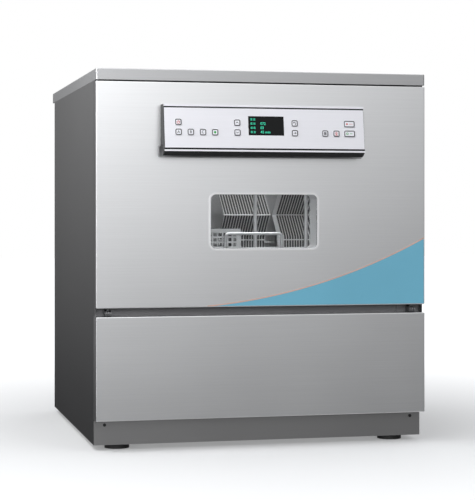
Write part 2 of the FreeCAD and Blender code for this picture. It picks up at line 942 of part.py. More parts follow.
def spray_arm_hubs():
    foot = tub_low + filter_sheet + hub_lift
    arm_high = arm_z + arm_bottom_height
    flange = rod_z(0, hub_y, foot, foot + hub_flange_height, hub_flange)
    shoulder = rod_z(0, hub_y, foot, arm_z - arm_fit, shoulder_radius)
    post = rod_z(0, hub_y, foot, arm_high + arm_fit, post_radius)
    bore = rod_z(0, hub_y, foot, arm_high + arm_fit, pipe_radius - pipe_wall)
    bottom = fused([flange, shoulder, post]).cut(bore)
    bottom_cap = rod_z(0, hub_y, arm_high + arm_fit, arm_high + arm_fit + cap_height, cap_radius)
    top_shoulder = rod_z(0, hub_y, top_arm_high + arm_fit, tub_ceiling, shoulder_radius)
    top_post = rod_z(0, hub_y, top_arm_low - arm_fit, tub_ceiling, post_radius)
    top_bore = rod_z(0, hub_y, top_arm_low - arm_fit, tub_ceiling, pipe_radius - pipe_wall)
    top = fused([top_shoulder, top_post]).cut(top_bore)
    top_cap = rod_z(0, hub_y, top_arm_low - arm_fit - cap_height, top_arm_low - arm_fit, cap_radius)
    dock = ring_y(0, feed_level(), tub_back - dock_length, tub_back,
                  feed_radius + dock_gap + dock_wall, feed_radius + dock_gap)
    return [bottom, bottom_cap, top, top_cap, dock]


# Spray arms
def stadium(length, breadth, z0, z1):
    radius = breadth / 2
    run = length / 2 - radius
    middle = box(-run, run, hub_y - radius, hub_y + radius, z0, z1)
    ends = [rod_z(s * run, hub_y, z0, z1, radius) for s in (-1, 1)]
    return fused([middle] + ends)


def spray_arm(z0, z1, upward):
    shell = stadium(2 * arm_reach, arm_width, z0, z1).fuse(rod_z(0, hub_y, z0, z1, arm_hub)).removeSplitter()
    hollow = stadium(2 * arm_reach - 2 * arm_shell, arm_width - 2 * arm_shell, z0 + arm_shell, z1 - arm_shell)
    hollow = hollow.cut(rod_z(0, hub_y, z0, z1, arm_hub - arm_shell))
    cuts = [hollow, rod_z(0, hub_y, z0, z1, post_radius + arm_fit)]
    if upward:
        low, high = z1 - arm_shell, z1
    else:
        low, high = z0, z0 + arm_shell
    side = arm_width / 4
    for k, x in enumerate(spaced(arm_hub + nozzle_hub_gap, arm_reach - nozzle_tip_gap, nozzle_pitch)):
        offset = side if k % 2 else -side
        cuts.append(rod_z(x, hub_y + offset, low, high, nozzle_radius))
        cuts.append(rod_z(-x, hub_y - offset, low, high, nozzle_radius))
    return shell.cut(cuts)


# Racks
def rack(base_z, wall_height, glide_level):
    holes = [(x0 + rack_x, x1 + rack_x, y0 - rack_front, y1 - rack_front)
             for x0, x1 in cells(-rack_x, rack_x, rack_pitch, rack_bar)
             for y0, y1 in cells(rack_front, rack_back, rack_pitch, rack_bar)]
    length = rack_back - rack_front
    floor = plate_with_holes(V(-rack_x, rack_front, base_z), V(1, 0, 0), V(0, 1, 0), 2 * rack_x, length,
                             V(0, 0, rack_bar), holes)
    top = base_z + rack_bar
    rows = [(rack_wall, wall_height - rack_rim - rack_wall),
            (wall_height - rack_rim, wall_height - rack_wall)]
    side_slots = [(a0, a1, b0, b1) for a0, a1 in cells(0, length, rack_slot_pitch, rack_slot_pitch - rack_slot)
                  for b0, b1 in rows]
    side = plate_with_holes(V(rack_x - rack_wall, rack_front, top), V(0, 1, 0), V(0, 0, 1), length,
                            wall_height, V(rack_wall, 0, 0), side_slots)
    span = 2 * (rack_x - rack_wall)
    end_slots = [(a0, a1, b0, b1) for a0, a1 in cells(0, span, rack_slot_pitch, rack_slot_pitch - rack_slot)
                 for b0, b1 in rows]
    front = plate_with_holes(V(-rack_x + rack_wall, rack_front, top), V(1, 0, 0), V(0, 0, 1), span,
                             wall_height, V(0, rack_wall, 0), end_slots)
    back = front.translated(V(0, length - rack_wall, 0))
    glide = box(rack_x, tub_in - rail_sheet - glide_side_gap, rack_front, rack_back,
                glide_level + rail_sheet + glide_gap, glide_level + rail_height - rail_sheet - glide_gap)
    return [floor, front, back] + both_sides([side, glide])


def lower_basket():
    top = lower_rack_z + rack_bar + lower_rack_height
    level = top + handle_rise
    y = rack_front - handle_radius
    foot = top - handle_foot
    handle = bar_along([V(-handle_half, y, foot), V(-handle_half, y, level), V(handle_half, y, level),
                        V(handle_half, y, foot)], handle_radius, handle_bend)
    return rack(lower_rack_z, lower_rack_height, lower_rail) + [handle]


def upper_basket():
    shoulder = rod_z(0, hub_y, middle_arm_top + arm_fit, upper_rack_z, shoulder_radius)
    post = rod_z(0, hub_y, middle_arm_low - arm_fit, upper_rack_z, post_radius)
    feed_end = tub_back - dock_length + dock_overlap
    feed = rod_y(0, feed_level(), hub_y, feed_end, feed_radius)
    bore = rod_y(0, feed_level(), hub_y, feed_end, feed_radius - pipe_wall)
    down = rod_z(0, hub_y, middle_arm_low - arm_fit, feed_level(), feed_radius - pipe_wall)
    hub = fused([shoulder, post, feed]).cut([bore, down])
    cap = rod_z(0, hub_y, middle_arm_low - arm_fit - cap_height, middle_arm_low - arm_fit, cap_radius)
    return rack(upper_rack_z, upper_rack_height, middle_rail) + [hub, cap]


def parts_basket():
    x0 = parts_left
    x1 = parts_left + parts_width
    y0 = rack_front + parts_front_gap
    z0 = lower_rack_z + rack_bar + parts_lift
    inner = parts_depth - 2 * parts_sheet
    floor = perforated_plate(V(x0, y0, z0), V(1, 0, 0), V(0, 1, 0), parts_width, parts_depth,
                             V(0, 0, parts_sheet), parts_hole, parts_pitch, parts_margin)
    wall_z = z0 + parts_sheet
    rise = parts_height - parts_sheet
    front = perforated_plate(V(x0, y0, wall_z), V(1, 0, 0), V(0, 0, 1), parts_width, rise,
                             V(0, parts_sheet, 0), parts_hole, parts_pitch, parts_margin)
    back = front.translated(V(0, parts_depth - parts_sheet, 0))
    left = perforated_plate(V(x0, y0 + parts_sheet, wall_z), V(0, 1, 0), V(0, 0, 1), inner, rise,
                            V(parts_sheet, 0, 0), parts_hole, parts_pitch, parts_margin)
    right = left.translated(V(x1 - x0 - parts_sheet, 0, 0))
    return [floor, front, back, left, right]


def comb(x0, x1, y_kink, y_foot, y_top):
    # A bent screen of upright wires: foot, kink forward, slope back up to the rim
    low = lower_rack_z + rack_bar
    high = middle_arm_low - comb_top_gap
    rise = high - low
    kink = low + rise * comb_kink_share
    knee = low + rise * comb_knee_share
    line = [(y_foot, low), (y_foot, knee), (y_kink, kink), (y_top, high)]
    back = [(y + comb_plate, z) for y, z in line]
    sheet = prism_x(line + back[::-1], x0, x1)
    rows = [(low + comb_foot_rise, kink - rise * comb_rod_below),
            (kink - rise * comb_rod_gap, kink - rise * comb_rod_top),
            (kink + comb_plate, high - comb_rim)]
    y0 = min(y_kink, y_foot, y_top) - comb_plate
    y1 = max(y_kink, y_foot, y_top) + 2 * comb_plate
    slots = [box(a0, a1, y0, y1, z0, z1) for a0, a1 in cells(x0, x1, comb_pitch, comb_wire) for z0, z1 in rows]
    return sheet.cut(slots)


def dish_combs():
    kink = hub_y + comb_back
    foot = kink + comb_foot_back
    edge = rack_x - comb_side_gap
    first = comb(0, comb_wide, kink, foot, foot + comb_top_back)
    left = comb(-edge, -edge + comb_wide - comb_trim, kink, foot, foot + comb_top_back)
    right = comb(edge - comb_narrow, edge, kink + right_comb_back, foot + right_comb_foot,
                 kink + right_comb_top)
    return [first, left, right]


def injector_pillars():
    z = lower_rack_z + rack_bar + feed_radius + parts_lift
    y = hub_y + pillar_back
    manifold = rod_x(y, z, -manifold_half, manifold_half, feed_radius)
    pillars = [rod_z(x, y, z, middle_arm_low - pillar_gap, pillar_radius) for x in pillar_places]
    return fused([manifold] + pillars)


# Pumps, valves and pipes under and behind the chamber
def pump_z():
    return base_top + pump_level


def pump_y():
    return hub_y + pump_back


def circulation_pump():
    y0 = pump_y()
    y1 = y0 + volute_width
    z = pump_z()
    outlet_y = y0 + outlet_offset
    volute = rod_y(pump_x, z, y0, y1, volute_radius)
    outlet = rod_z(0, outlet_y, z, z + outlet_rise, pipe_radius + outlet_wall)
    inlet = rod_y(pump_x, z, y0 - suction_reach, y0, suction_radius)
    casing = fused([volute, outlet, inlet])
    casing = casing.cut([rod_z(0, outlet_y, z + port_start, z + outlet_rise, pipe_radius - pipe_wall),
                         rod_y(pump_x, z, y0 - suction_reach, y0, suction_radius - hose_wall)])
    motor = rod_y(pump_x, z, y1, y1 + motor_length, motor_radius)
    a = motor_fin_thick / 2
    fin = box(pump_x - a, pump_x + a, y1 + motor_fin_front, y1 + motor_length - motor_fin_rear,
              z, z + motor_radius + motor_fin)
    step = 360 / motor_fins
    fins = [fin.rotated(V(pump_x, 0, z), V(0, 1, 0), step * k) for k in range(motor_fins)]
    motor = motor.fuse(fins).removeSplitter()
    a = pump_foot_half
    low = y1 + pump_foot_front
    high = y1 + pump_foot_rear
    foot = box(pump_x - a, pump_x + a, low, high, base_top, z - motor_radius + pump_foot_rise)
    a -= foot_wall
    foot = foot.cut([rod_y(pump_x, z, low, high, motor_radius + motor_fin + pump_fit),
                     box(pump_x - a, pump_x + a, low + foot_wall, high - foot_wall, base_top + foot_floor,
                         z - motor_radius - 2 * pump_foot_rise)])
    return [casing, motor, foot]


def feed_pipes():
    y = pump_y() + outlet_offset
    z = pump_z() + outlet_rise
    rear_y = tub_rear + riser_back
    roof_z = tub_high + roof_pipe_rise
    main = [V(0, y, z), V(0, y, z + riser_height), V(0, rear_y, z + riser_height), V(0, rear_y, roof_z),
            V(0, hub_y, roof_z), V(0, hub_y, tub_high)]
    branch = [V(0, y, z + tee_rise), V(0, hub_y, z + tee_rise),
              V(0, hub_y, tub_low + filter_sheet + hub_lift)]
    tees = [rod_z(0, y, z + tee_rise - tee_half, z + tee_rise + tee_half, tee_radius),
            rod_z(0, rear_y, feed_level() - tee_half, feed_level() + tee_half, tee_radius)]
    outer = fused([bar_along(main, pipe_radius, roof_bend), bar_along(branch, pipe_radius, pipe_bend),
                   rod_y(0, feed_level(), tub_rear, rear_y, pipe_radius)] + tees)
    bore = pipe_radius - pipe_wall
    narrow = bore - branch_step
    inner = fused([bar_along(main, bore, roof_bend), bar_along(branch, narrow, pipe_bend),
                   rod_y(0, feed_level(), tub_rear, rear_y, narrow)])
    return outer.cut(inner)


def drain_pump_y():
    return hub_y


def water_hoses():
    z = pump_z()
    suction = pipe_along([V(pump_x, suction_y(), spigot_low), V(pump_x, suction_y(), z),
                          V(pump_x, pump_y() - suction_reach, z)], suction_radius, hose_wall, suction_bend)
    dx = drain_spigot_x()
    dy = drain_spigot_y()
    px = drain_pump_x
    top = base_top + drain_pump_level + drain_pump_radius + drain_pump_port
    bridge = top + drain_loop_rise
    to_drain = pipe_along([V(dx, dy, spigot_low), V(dx, dy, bridge), V(px, dy, bridge), V(px, dy, top)],
                          pipe_radius, hose_wall, pipe_bend)
    low = base_top + drain_pump_level
    loop_y = depth - drain_loop_back
    loop_z = (tub_floor + tub_ceiling) / 2 - drain_loop_drop
    exit_z = base_top + drain_level
    out = pipe_along([V(px, drain_pump_y() + drain_pump_width + drain_pump_outlet, low), V(px, loop_y, low),
                      V(px, loop_y, loop_z), V(drain_x, loop_y, loop_z), V(drain_x, loop_y, exit_z),
                      V(drain_x, depth - drain_inside, exit_z)], pipe_radius, hose_wall, drain_bend)
    hoses = [suction, to_drain, out]
    for x in valve_places():
        start = depth - valve_body - valve_tail
        turn = start - inlet_turn
        route = [V(x, start, base_top + valve_level), V(x, turn, base_top + valve_level),
                 V(x, turn, inlet_port()), V(x, tub_rear, inlet_port())]
        hoses.append(pipe_along(route, inlet_hose, hose_wall, pipe_bend))
    return hoses


def drain_pump():
    x = drain_pump_x
    z = base_top + drain_pump_level
    y0 = drain_pump_y()
    y1 = y0 + drain_pump_width
    inlet_y = drain_spigot_y()
    body = rod_y(x, z, y0, y1, drain_pump_radius)
    top = z + drain_pump_radius + drain_pump_port
    rear = y1 + drain_pump_outlet
    inlet = rod_z(x, inlet_y, z, top, pipe_radius)
    outlet = rod_y(x, z, y1, rear, pipe_radius)
    casing = fused([body, inlet, outlet])
    casing = casing.cut([rod_z(x, inlet_y, z + port_start, top, pipe_radius - hose_wall),
                         rod_y(x, z, y1 - port_start / 2, rear, pipe_radius - hose_wall)])
    motor = rod_y(x, z, y0 - drain_motor_length, y0, drain_pump_radius - drain_motor_step)
    a = drain_bracket_half
    low = y0 + drain_bracket_inset
    high = y1 - drain_bracket_inset
    bracket = box(x - a, x + a, low, high, base_top, z - drain_bracket_drop)
    wall = drain_bracket_wall
    bracket = bracket.cut([rod_y(x, z, y0, y1, drain_pump_radius + pump_fit),
                           box(x - a + wall, x + a - wall, low + wall, high - wall, base_top + wall,
                               z - drain_pump_radius - drain_motor_step)])
    return [casing, motor, bracket]


def inlet_valves():
    solids = []
    z = base_top + valve_level
    r = valve_width / 2
    for x in valve_places():
        front = depth - valve_body
        body = rounded_y(x - r, x + r, front, rear_face, z - r, z + r, valve_corner)
        thread = rod_y(x, z, rear_face, depth + valve_reach, valve_thread)
        outlet = rod_y(x, z, front - valve_tail, front, inlet_hose)
        valve = fused([body, thread, outlet])
        valve = valve.cut([rod_y(x, z, depth - valve_thread_bore, depth + valve_reach,
                                 valve_thread - valve_thread_wall),
                           rod_y(x, z, front - valve_tail, depth - valve_tail_bore, inlet_hose - hose_wall)])
        coil = rounded_z(x - coil_half, x + coil_half, depth - coil_front, depth - coil_rear,
                         z + r, z + r + coil_height, coil_corner)
        solids += [valve, coil]
    return solids


def dosing_pumps():
    back = dosing_y + dosing_sheet
    end = dosing_x + dosing_width
    upright = box(dosing_x, end, dosing_y, back, base_top, base_top + dosing_height)
    shelf = box(dosing_x, end, back, back + dosing_shelf, base_top, base_top + dosing_shelf_sheet)
    z = base_top + dosing_level
    r = dosing_head
    solids = []
    holes = []
    for x in [dosing_x + place for place in dosing_places]:
        head = rounded_y(x - r, x + r, dosing_y - dosing_head_depth, dosing_y, z - r, z + r, dosing_corner)
        ports = [rod_z(x + s * dosing_port_x, dosing_y - dosing_head_depth / 2, z - dosing_port_drop, z - r,
                       dosing_port) for s in (-1, 1)]
        shaft = rod_y(x, z, dosing_y, back, dosing_shaft)
        holes.append(rod_y(x, z, dosing_y, back, dosing_shaft + dosing_shaft_fit))
        solids.append(fused([head, shaft] + ports))
        solids.append(rod_y(x, z, back, back + dosing_motor_length, dosing_motor))
    return [fused([upright, shelf]).cut(holes)] + solids


def control_box():
    x1 = -half + control_inset + control_width
    x0 = x1 - control_width
    y0 = frame_back + control_front
    y1 = y0 + control_depth
    z1 = base_top + control_height
    t = control_sheet
    tub = box(x0, x1, y0, y1, base_top, z1 - t).cut(box(x0 + t, x1 - t, y0 + t, y1 - t, base_top + t, z1 - t))
    lid = box(x0, x1, y0, y1, z1 - t, z1)
    m = main_board_margin
    board_z = base_top + m
    board = box(x0 + m, x1 - m, y0 + m, y1 - m, board_z, board_z + main_board_thick)
    p = main_board_post_inset
    posts = [rod_z(x, y, base_top + t, board_z, main_board_post)
             for x in (x0 + p, x1 - p) for y in (y0 + p, y1 - p)]
    relay_z = board_z + main_board_thick
    relay_y = y0 + relay_front
    relays = [box(x0 + x, x0 + x + relay_width, relay_y, relay_y + relay_depth, relay_z,
                  relay_z + relay_height) for x in relay_places]
    return [tub, lid, board] + posts + relays


def rear_connections():
    z = base_bottom + gland_level
    body = hexagon_y(gland_x, z, depth, depth + gland_hex, 2 * gland_radius)
    end = depth + gland_reach
    dome = rod_y(gland_x, z, depth + gland_hex, end, gland_radius - gland_dome_step)
    dome = dome.makeFillet(gland_edge, edges_at_end(dome, end))
    thread = rod_y(gland_x, z, depth - gland_inside, depth, gland_thread)
    gland = fused([body, dome, thread]).cut(rod_y(gland_x, z, depth - gland_inside, end, gland_bore))
    nut = hexagon_y(gland_x, z, rear_face - gland_nut, rear_face, 2 * gland_radius)
    nut = nut.cut(rod_y(gland_x, z, rear_face - gland_nut, rear_face, gland_thread + gland_nut_ease))
    z = base_top + drain_level
    start = depth - drain_inside
    end = depth + drain_reach
    spigot = rod_y(drain_x, z, start, end, drain_spigot)
    spigot = spigot.makeChamfer(drain_chamfer, edges_at_end(spigot, end))
    flange = rod_y(drain_x, z, depth, depth + drain_flange_thick, drain_spigot + drain_flange)
    spout = fused([spigot, flange]).cut(rod_y(drain_x, z, start, end, drain_spigot - hose_wall))
    return [gland, nut, spout]


# Hinge, springs and lock
def hinge_brackets():
    eye = arm_eye
    inner_x = arm_x - arm_thick / 2 - lug_gap
    outer_x = arm_x + arm_thick / 2 + lug_gap
    solids = []
    for x0, tab0, tab1 in ((inner_x - lug_thick, inner_x - lug_thick - tab_inner, inner_x - lug_thick),
                           (outer_x, outer_x + lug_thick, half - front_leg_sheet - seam)):
        plate = box(x0, x0 + lug_thick, axis_y, front_depth, axis_z - eye, axis_z + eye)
        nose = rod_x(axis_y, axis_z, x0, x0 + lug_thick, eye)
        tab = box(tab0, tab1, front_depth - tab_thick, front_depth, axis_z - eye, door_low - tab_top_gap)
        lug = fused([plate, nose, tab])
        solids.append(lug.cut(rod_x(axis_y, axis_z, x0, x0 + lug_thick, pin_radius + pin_fit)))
    pin = rod_x(axis_y, axis_z, inner_x - lug_thick, outer_x + lug_thick, pin_radius)
    head = rod_x(axis_y, axis_z, outer_x + lug_thick, outer_x + lug_thick + pin_head, pin_radius + pin_head)
    solids.append(pin.fuse(head).removeSplitter())
    return both_sides(solids)


def door_springs():
    low = base_top + spring_seat + seam
    high = axis_z - arm_bar / 2 - seam
    tube = rod_z(arm_x, spring_y(), low, high, spring_radius)
    hollow = rod_z(arm_x, spring_y(), low + spring_plug, high - spring_plug, spring_radius - spring_wire)
    return both_sides([tube.cut(hollow)])


def lock_z():
    return tub_high + lock_rise


def lock_y():
    return frame_back + lock_depth


def door_lock():
    z = lock_z()
    y = lock_y()
    frame = box(lock_x, lock_x + lock_length, frame_back, y - lock_half, z - lock_half, z + lock_half)
    coil = rod_x(y, z, lock_x, lock_x + lock_length, lock_half)
    coil = coil.fuse(box(lock_x, lock_x + lock_length, y - lock_half, y, z - lock_half, z + lock_half))
    guide = rod_x(y, z, lock_x, lock_x + bolt_length + bolt_overrun,
                  bolt_radius + bolt_fit)
    return [frame, coil.removeSplitter().cut(guide)]


def door_lock_bolt():
    start = strike_thick / 2 + bolt_gap
    bolt = rod_x(lock_y(), lock_z(), start, start + bolt_length, bolt_radius)
    return bolt.makeChamfer(bolt_chamfer, [e for e in bolt.Edges if e.BoundBox.XMax < start + 0.01])


# Door
def door_skin():
    outer = box(-half, half, 0, skin_depth, door_low, door_high)
    outer = outer.makeFillet(skin_edge, edges_along(outer, V(0, 1, 0)))
    outer = outer.makeFillet(skin_round, [e for e in outer.Edges if e.BoundBox.YMax < 0.01])
    hollow = box(-half + skin_sheet, half - skin_sheet, skin_sheet, skin_depth - skin_sheet,
                 door_low + skin_sheet, door_high - skin_sheet)
    opening = box(-half + skin_flange, half - skin_flange, skin_depth - skin_sheet, skin_depth,
                  door_low + skin_flange, door_high - skin_flange)
    pocket = box(pocket_mid() - pocket_width / 2 + pocket_lip, pocket_mid() + pocket_width / 2 - pocket_lip,
                 0, skin_sheet, pocket_low() + pocket_lip, pocket_high() - pocket_lip)
    return outer.cut([hollow, opening, window_cut(0, skin_sheet), pocket])


def window_cut(y0, y1):
    wall = window_wall + window_fit
    return rounded_y(-window_width / 2 - wall, window_width / 2 + wall, y0, y1, window_low - wall,
                     window_high + wall, window_corner + wall)


def pocket_mid():
    return housing_offset + pocket_shift


def pocket_high():
    return grip_roof


def pocket_low():
    return grip_roof - pocket_height


def door_liner():
    x = half - liner_margin
    low = door_low + liner_sill
    high = door_high - liner_sill
    pan = box(-x, x, skin_depth, liner_back, low, high)
    pan = pan.cut(box(-x + liner_sheet, x - liner_sheet, skin_depth, liner_back - liner_sheet,
                      low + liner_sheet, high - liner_sheet))
    plug = rounded_y(-plug_x, plug_x, liner_back, plug_back, plug_low, plug_high, plug_corner)
    plug = plug.makeFillet(plug_edge, [e for e in plug.Edges if e.BoundBox.YMin > plug_back - 0.01])
    core = rounded_y(-plug_x + liner_sheet, plug_x - liner_sheet, liner_back - liner_sheet,
                     plug_back - liner_sheet, plug_low + liner_sheet, plug_high - liner_sheet,
                     plug_corner - liner_sheet)
    liner = fused([pan, plug]).cut([core, window_cut(liner_back, plug_back)])
    slots = []
    for s in (-1, 1):
        x0 = s * arm_x - arm_thick / 2 - arm_slot_ease
        slots.append(box(x0, x0 + arm_thick + 2 * arm_slot_ease, skin_depth, liner_back - liner_sheet,
                         low, low + liner_sheet))
    strike_y = lock_y()
    strike = box(-strike_thick / 2, strike_thick / 2, liner_back, strike_y + strike_reach,
                 lock_z() - strike_half, lock_z() + strike_half)
    hole = strike_half - strike_bar
    strike = strike.cut(box(-strike_thick / 2, strike_thick / 2, strike_y - hole, strike_y + hole,
                            lock_z() - hole, lock_z() + hole))
    return [liner.cut(slots), strike]


def window_frame():
    wall = window_wall
    tube = rounded_y(-window_width / 2 - wall, window_width / 2 + wall, -window_proud, plug_back,
                     window_low - wall, window_high + wall, window_corner + wall)
    reach = wall + window_lip
    lip = rounded_y(-window_width / 2 - reach, window_width / 2 + reach, -window_proud, 0,
                    window_low - reach, window_high + reach, window_corner + reach)
    clear = rounded_y(-window_width / 2, window_width / 2, -window_proud, plug_back,
                      window_low, window_high, window_corner)
    return fused([tube, lip]).cut(clear)


def window_glass():
    panes = []
    for y in (front_pane, plug_back - rear_pane - glass_thick):
        panes.append(rounded_y(-window_width / 2 + glass_gap, window_width / 2 - glass_gap, y, y + glass_thick,
                               window_low + glass_gap, window_high - glass_gap, window_corner - glass_gap))
    return panes


def tilted(shape):
    # From a face that stands upright at y = 0 with its foot at z = 0, to the sloping face of the housing
    turned = shape.rotated(V(0, 0, 0), V(1, 0, 0), -housing_tilt)
    return turned.translated(V(0, -housing_reach, housing_low))


def key_hole(x, level, across, up, y0, y1):
    a = across / 2 + key_gap
    b = up / 2 + key_gap
    return rounded_y(x - a, x + a, y0, y1, level - b, level + b, key_corner + key_gap)


def control_housing():
    top_y = -housing_reach + housing_height * math.tan(tilt)
    lip_y = -housing_reach + lip_thick
    outline = [(0, housing_high), (top_y, housing_high), (-housing_reach, housing_low),
               (lip_y - lip_point, housing_low - lip_drop), (lip_y, housing_low - lip_drop),
               (lip_y, grip_roof), (0, grip_roof)]
    shell = prism_x(outline, housing_left, housing_right)
    floor = grip_roof + housing_wall
    roof = housing_high - housing_wall
    offset = housing_wall / math.cos(tilt)

    def inner_y(z):
        return -housing_reach + (z - housing_low) * math.tan(tilt) + offset
    hollow = prism_x([(0, roof), (inner_y(roof), roof), (inner_y(floor), floor), (0, floor)],
                     housing_left + housing_wall, housing_right - housing_wall)
    cuts = [hollow]
    for name, x, level, across, up in key_table:
        cuts.append(tilted(key_hole(x, level, across, up, -cut_over, housing_wall + cut_over)))
    cuts.append(tilted(display_block(-display_ledge, -cut_over, housing_wall + cut_over)))
    shell = shell.cut(cuts)
    posts = [tilted(rod_y(x, z, housing_wall, board_depth, board_post)) for x, z in board_posts()]
    return shell.fuse(posts).removeSplitter()


def board_posts():
    return [(x, z) for x in board_post_places
            for z in (board_low + board_post_inset, board_high - board_post_inset)]


def display_block(margin, y0, y1):
    a = display_width / 2 + margin
    b = display_height / 2 + margin
    return box(display_x - a, display_x + a, y0, y1, display_level - b, display_level + b)


def fascia():
    low = trim_low + groove_low
    high = face_length - trim_high - groove_high
    plate = box(housing_left + fascia_margin, housing_right - fascia_margin, -fascia_thick, 0, low, high)
    holes = [key_hole(x, level, across, up, -fascia_thick, 0) for name, x, level, across, up in key_table]
    holes.append(display_block(display_gap, -fascia_thick, 0))
    plate = plate.cut(holes)
    low_trim = box(housing_left, housing_right, -fascia_thick, 0, 0, trim_low)
    high_trim = box(housing_left, housing_right, -fascia_thick, 0, face_length - trim_high, face_length)
    return [tilted(s) for s in (plate, low_trim, high_trim)]


def display():
    glass = display_block(0, -fascia_thick - display_proud, 0)
    module = display_block(-display_ledge - module_gap, 0, board_depth)
    return [tilted(glass), tilted(module)]


def control_board():
    left = housing_offset - board_width / 2
    sheet = box(left, left + board_width, board_depth, board_depth + board_thick, board_low, board_high)
    top = housing_wall + key_back_gap + key_flange + key_travel + key_back_gap
    h = switch_half
    switches = [box(x - h, x + h, top, board_depth, level - h, level + h)
                for name, x, level, across, up in key_table]
    return [tilted(s) for s in [sheet] + switches]


def key_cap(x, level, across, up):
    a = across / 2
    b = up / 2
    rear = housing_wall + key_back_gap
    cap = rounded_y(x - a, x + a, -key_proud, rear, level - b, level + b, key_corner)
    cap = cap.makeFillet(key_edge, [e for e in cap.Edges if e.BoundBox.YMax < -key_proud + 0.01])
    a += key_flange_reach
    b += key_flange_reach
    flange = box(x - a, x + a, rear, rear + key_flange, level - b, level + b)
    return tilted(cap.fuse(flange).removeSplitter())


def grip_pocket():
    mid = pocket_mid()
    a = pocket_width / 2
    lip = rounded_y(mid - a, mid + a, -pocket_proud, 0, pocket_low(), pocket_high(), pocket_lip_corner)
    b = pocket_lip + pocket_fit
    a -= b
    body = rounded_y(mid - a, mid + a, -pocket_proud, pocket_depth, pocket_low() + b, pocket_high() - b,
                     pocket_corner)
    a -= pocket_wall
    b += pocket_wall
    clear = rounded_y(mid - a, mid + a, -pocket_proud, pocket_depth - pocket_wall, pocket_low() + b,
                      pocket_high() - b, pocket_inner_corner)
    return fused([lip, body]).cut(clear)


def hinge_arms():
    x0 = arm_x - arm_thick / 2
    x1 = arm_x + arm_thick / 2
    eye = rod_x(axis_y, axis_z, x0, x1, arm_eye)
    bar = box(x0, x1, axis_y, axis_y + arm_tail, axis_z - arm_bar / 2, axis_z + arm_bar / 2)
    leg = box(x0, x1, skin_depth + arm_leg_gap, liner_back - liner_sheet, axis_z, axis_z + arm_leg_length)
    arm = fused([eye, bar, leg]).cut(rod_x(axis_y, axis_z, x0, x1, pin_radius + pin_fit))
    return both_sides([arm])


def save(name, solids):
    group = solids if isinstance(solids, list) else [solids]
    shape = group[0] if len(group) == 1 else Part.makeCompound(group)
    moved = shape.translated(V(0, shift_y, 0))
    moved.exportStep("parts/" + name + ".step")
    print(name, len(moved.Solids), round(moved.Volume / 1000, 1), moved.isValid())


os.makedirs("parts", exist_ok=True)
right_panel = side_panel()
nodes = {
    "worktop": worktop(),
    "side_panel_left": mirrored(right_panel),
    "side_panel_right": right_panel,
    "rear_panel": rear_panel(),
    "base_tray": base_tray(),
    "chassis_frame": chassis_frame(),
    "kick_plate": kick_plate(),
    "service_panel": service_panel(),
    "fixing_screws": fixing_screws(),
    "levelling_feet": levelling_feet(),
    "wash_chamber": wash_chamber(),
    "door_gasket": door_gasket(),
    "rack_rails": rack_rails(),
    "sump": sump(),
    "sump_filter": sump_filter(),
    "heater_element": heater_element(),
    "spray_arm_hubs": spray_arm_hubs(),
    "spray_arm_bottom": spray_arm(arm_z, arm_z + arm_bottom_height, True),
    "spray_arm_middle": spray_arm(middle_arm_low, middle_arm_top, False),
    "spray_arm_top": spray_arm(top_arm_low, top_arm_high, False),
    "lower_basket": lower_basket(),
    "upper_basket": upper_basket(),
    "parts_basket": parts_basket(),
    "dish_combs": dish_combs(),
    "injector_pillars": injector_pillars(),
    "circulation_pump": circulation_pump(),
    "feed_pipes": feed_pipes(),
    "water_hoses": water_hoses(),
    "drain_pump": drain_pump(),
    "inlet_valves": inlet_valves(),
    "dosing_pumps": dosing_pumps(),
    "control_box": control_box(),
    "rear_connections": rear_connections(),
    "hinge_brackets": hinge_brackets(),
    "door_springs": door_springs(),
    "door_lock": door_lock(),
    "door_lock_bolt": door_lock_bolt(),
    "door_skin": door_skin(),
    "door_liner": door_liner(),
    "window_frame": window_frame(),
    "window_glass": window_glass(),
    "control_housing": control_housing(),
    "fascia": fascia(),
    "display": display(),
    "control_board": control_board(),
    "grip_pocket": grip_pocket(),
    "hinge_arms": hinge_arms(),
}
for name, x, level, across, up in key_table:
    nodes[name] = key_cap(x, level, across, up)
for name, solids in nodes.items():
    save(name, solids)
print("hinge axis", axis_y + shift_y, axis_z)
print("spray arm axis", hub_y + shift_y)
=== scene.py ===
# %% [markdown]
# A laboratory glassware washer, dressed for a studio picture.
# The construction is already fixed: every panel, hinge and key comes in as a frame of rigid nodes.
# This lesson gives each of them a finish, and adds the thin, round and printed things that a
# construction model leaves plain, such as welded wire, key legends and the coloured film on the door.

# %% Load the fixed frame
import json
import math

import bmesh
import bpy
from mathutils import Matrix, Vector


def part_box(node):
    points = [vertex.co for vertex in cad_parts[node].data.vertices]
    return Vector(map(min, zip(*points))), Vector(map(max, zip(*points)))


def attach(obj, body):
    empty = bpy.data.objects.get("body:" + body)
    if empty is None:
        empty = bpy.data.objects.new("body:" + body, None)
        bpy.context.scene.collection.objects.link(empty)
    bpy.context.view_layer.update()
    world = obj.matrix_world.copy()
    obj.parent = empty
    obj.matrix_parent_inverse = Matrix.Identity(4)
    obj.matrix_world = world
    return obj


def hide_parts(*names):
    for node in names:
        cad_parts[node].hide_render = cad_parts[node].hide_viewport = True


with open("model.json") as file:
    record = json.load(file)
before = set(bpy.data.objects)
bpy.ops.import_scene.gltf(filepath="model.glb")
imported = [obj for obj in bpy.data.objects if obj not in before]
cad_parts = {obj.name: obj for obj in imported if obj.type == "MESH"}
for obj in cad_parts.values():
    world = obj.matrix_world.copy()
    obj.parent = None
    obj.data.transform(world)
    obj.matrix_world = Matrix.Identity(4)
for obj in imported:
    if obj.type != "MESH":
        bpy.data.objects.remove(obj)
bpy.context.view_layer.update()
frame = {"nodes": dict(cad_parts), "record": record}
nodes = frame["nodes"]
MM = 0.001

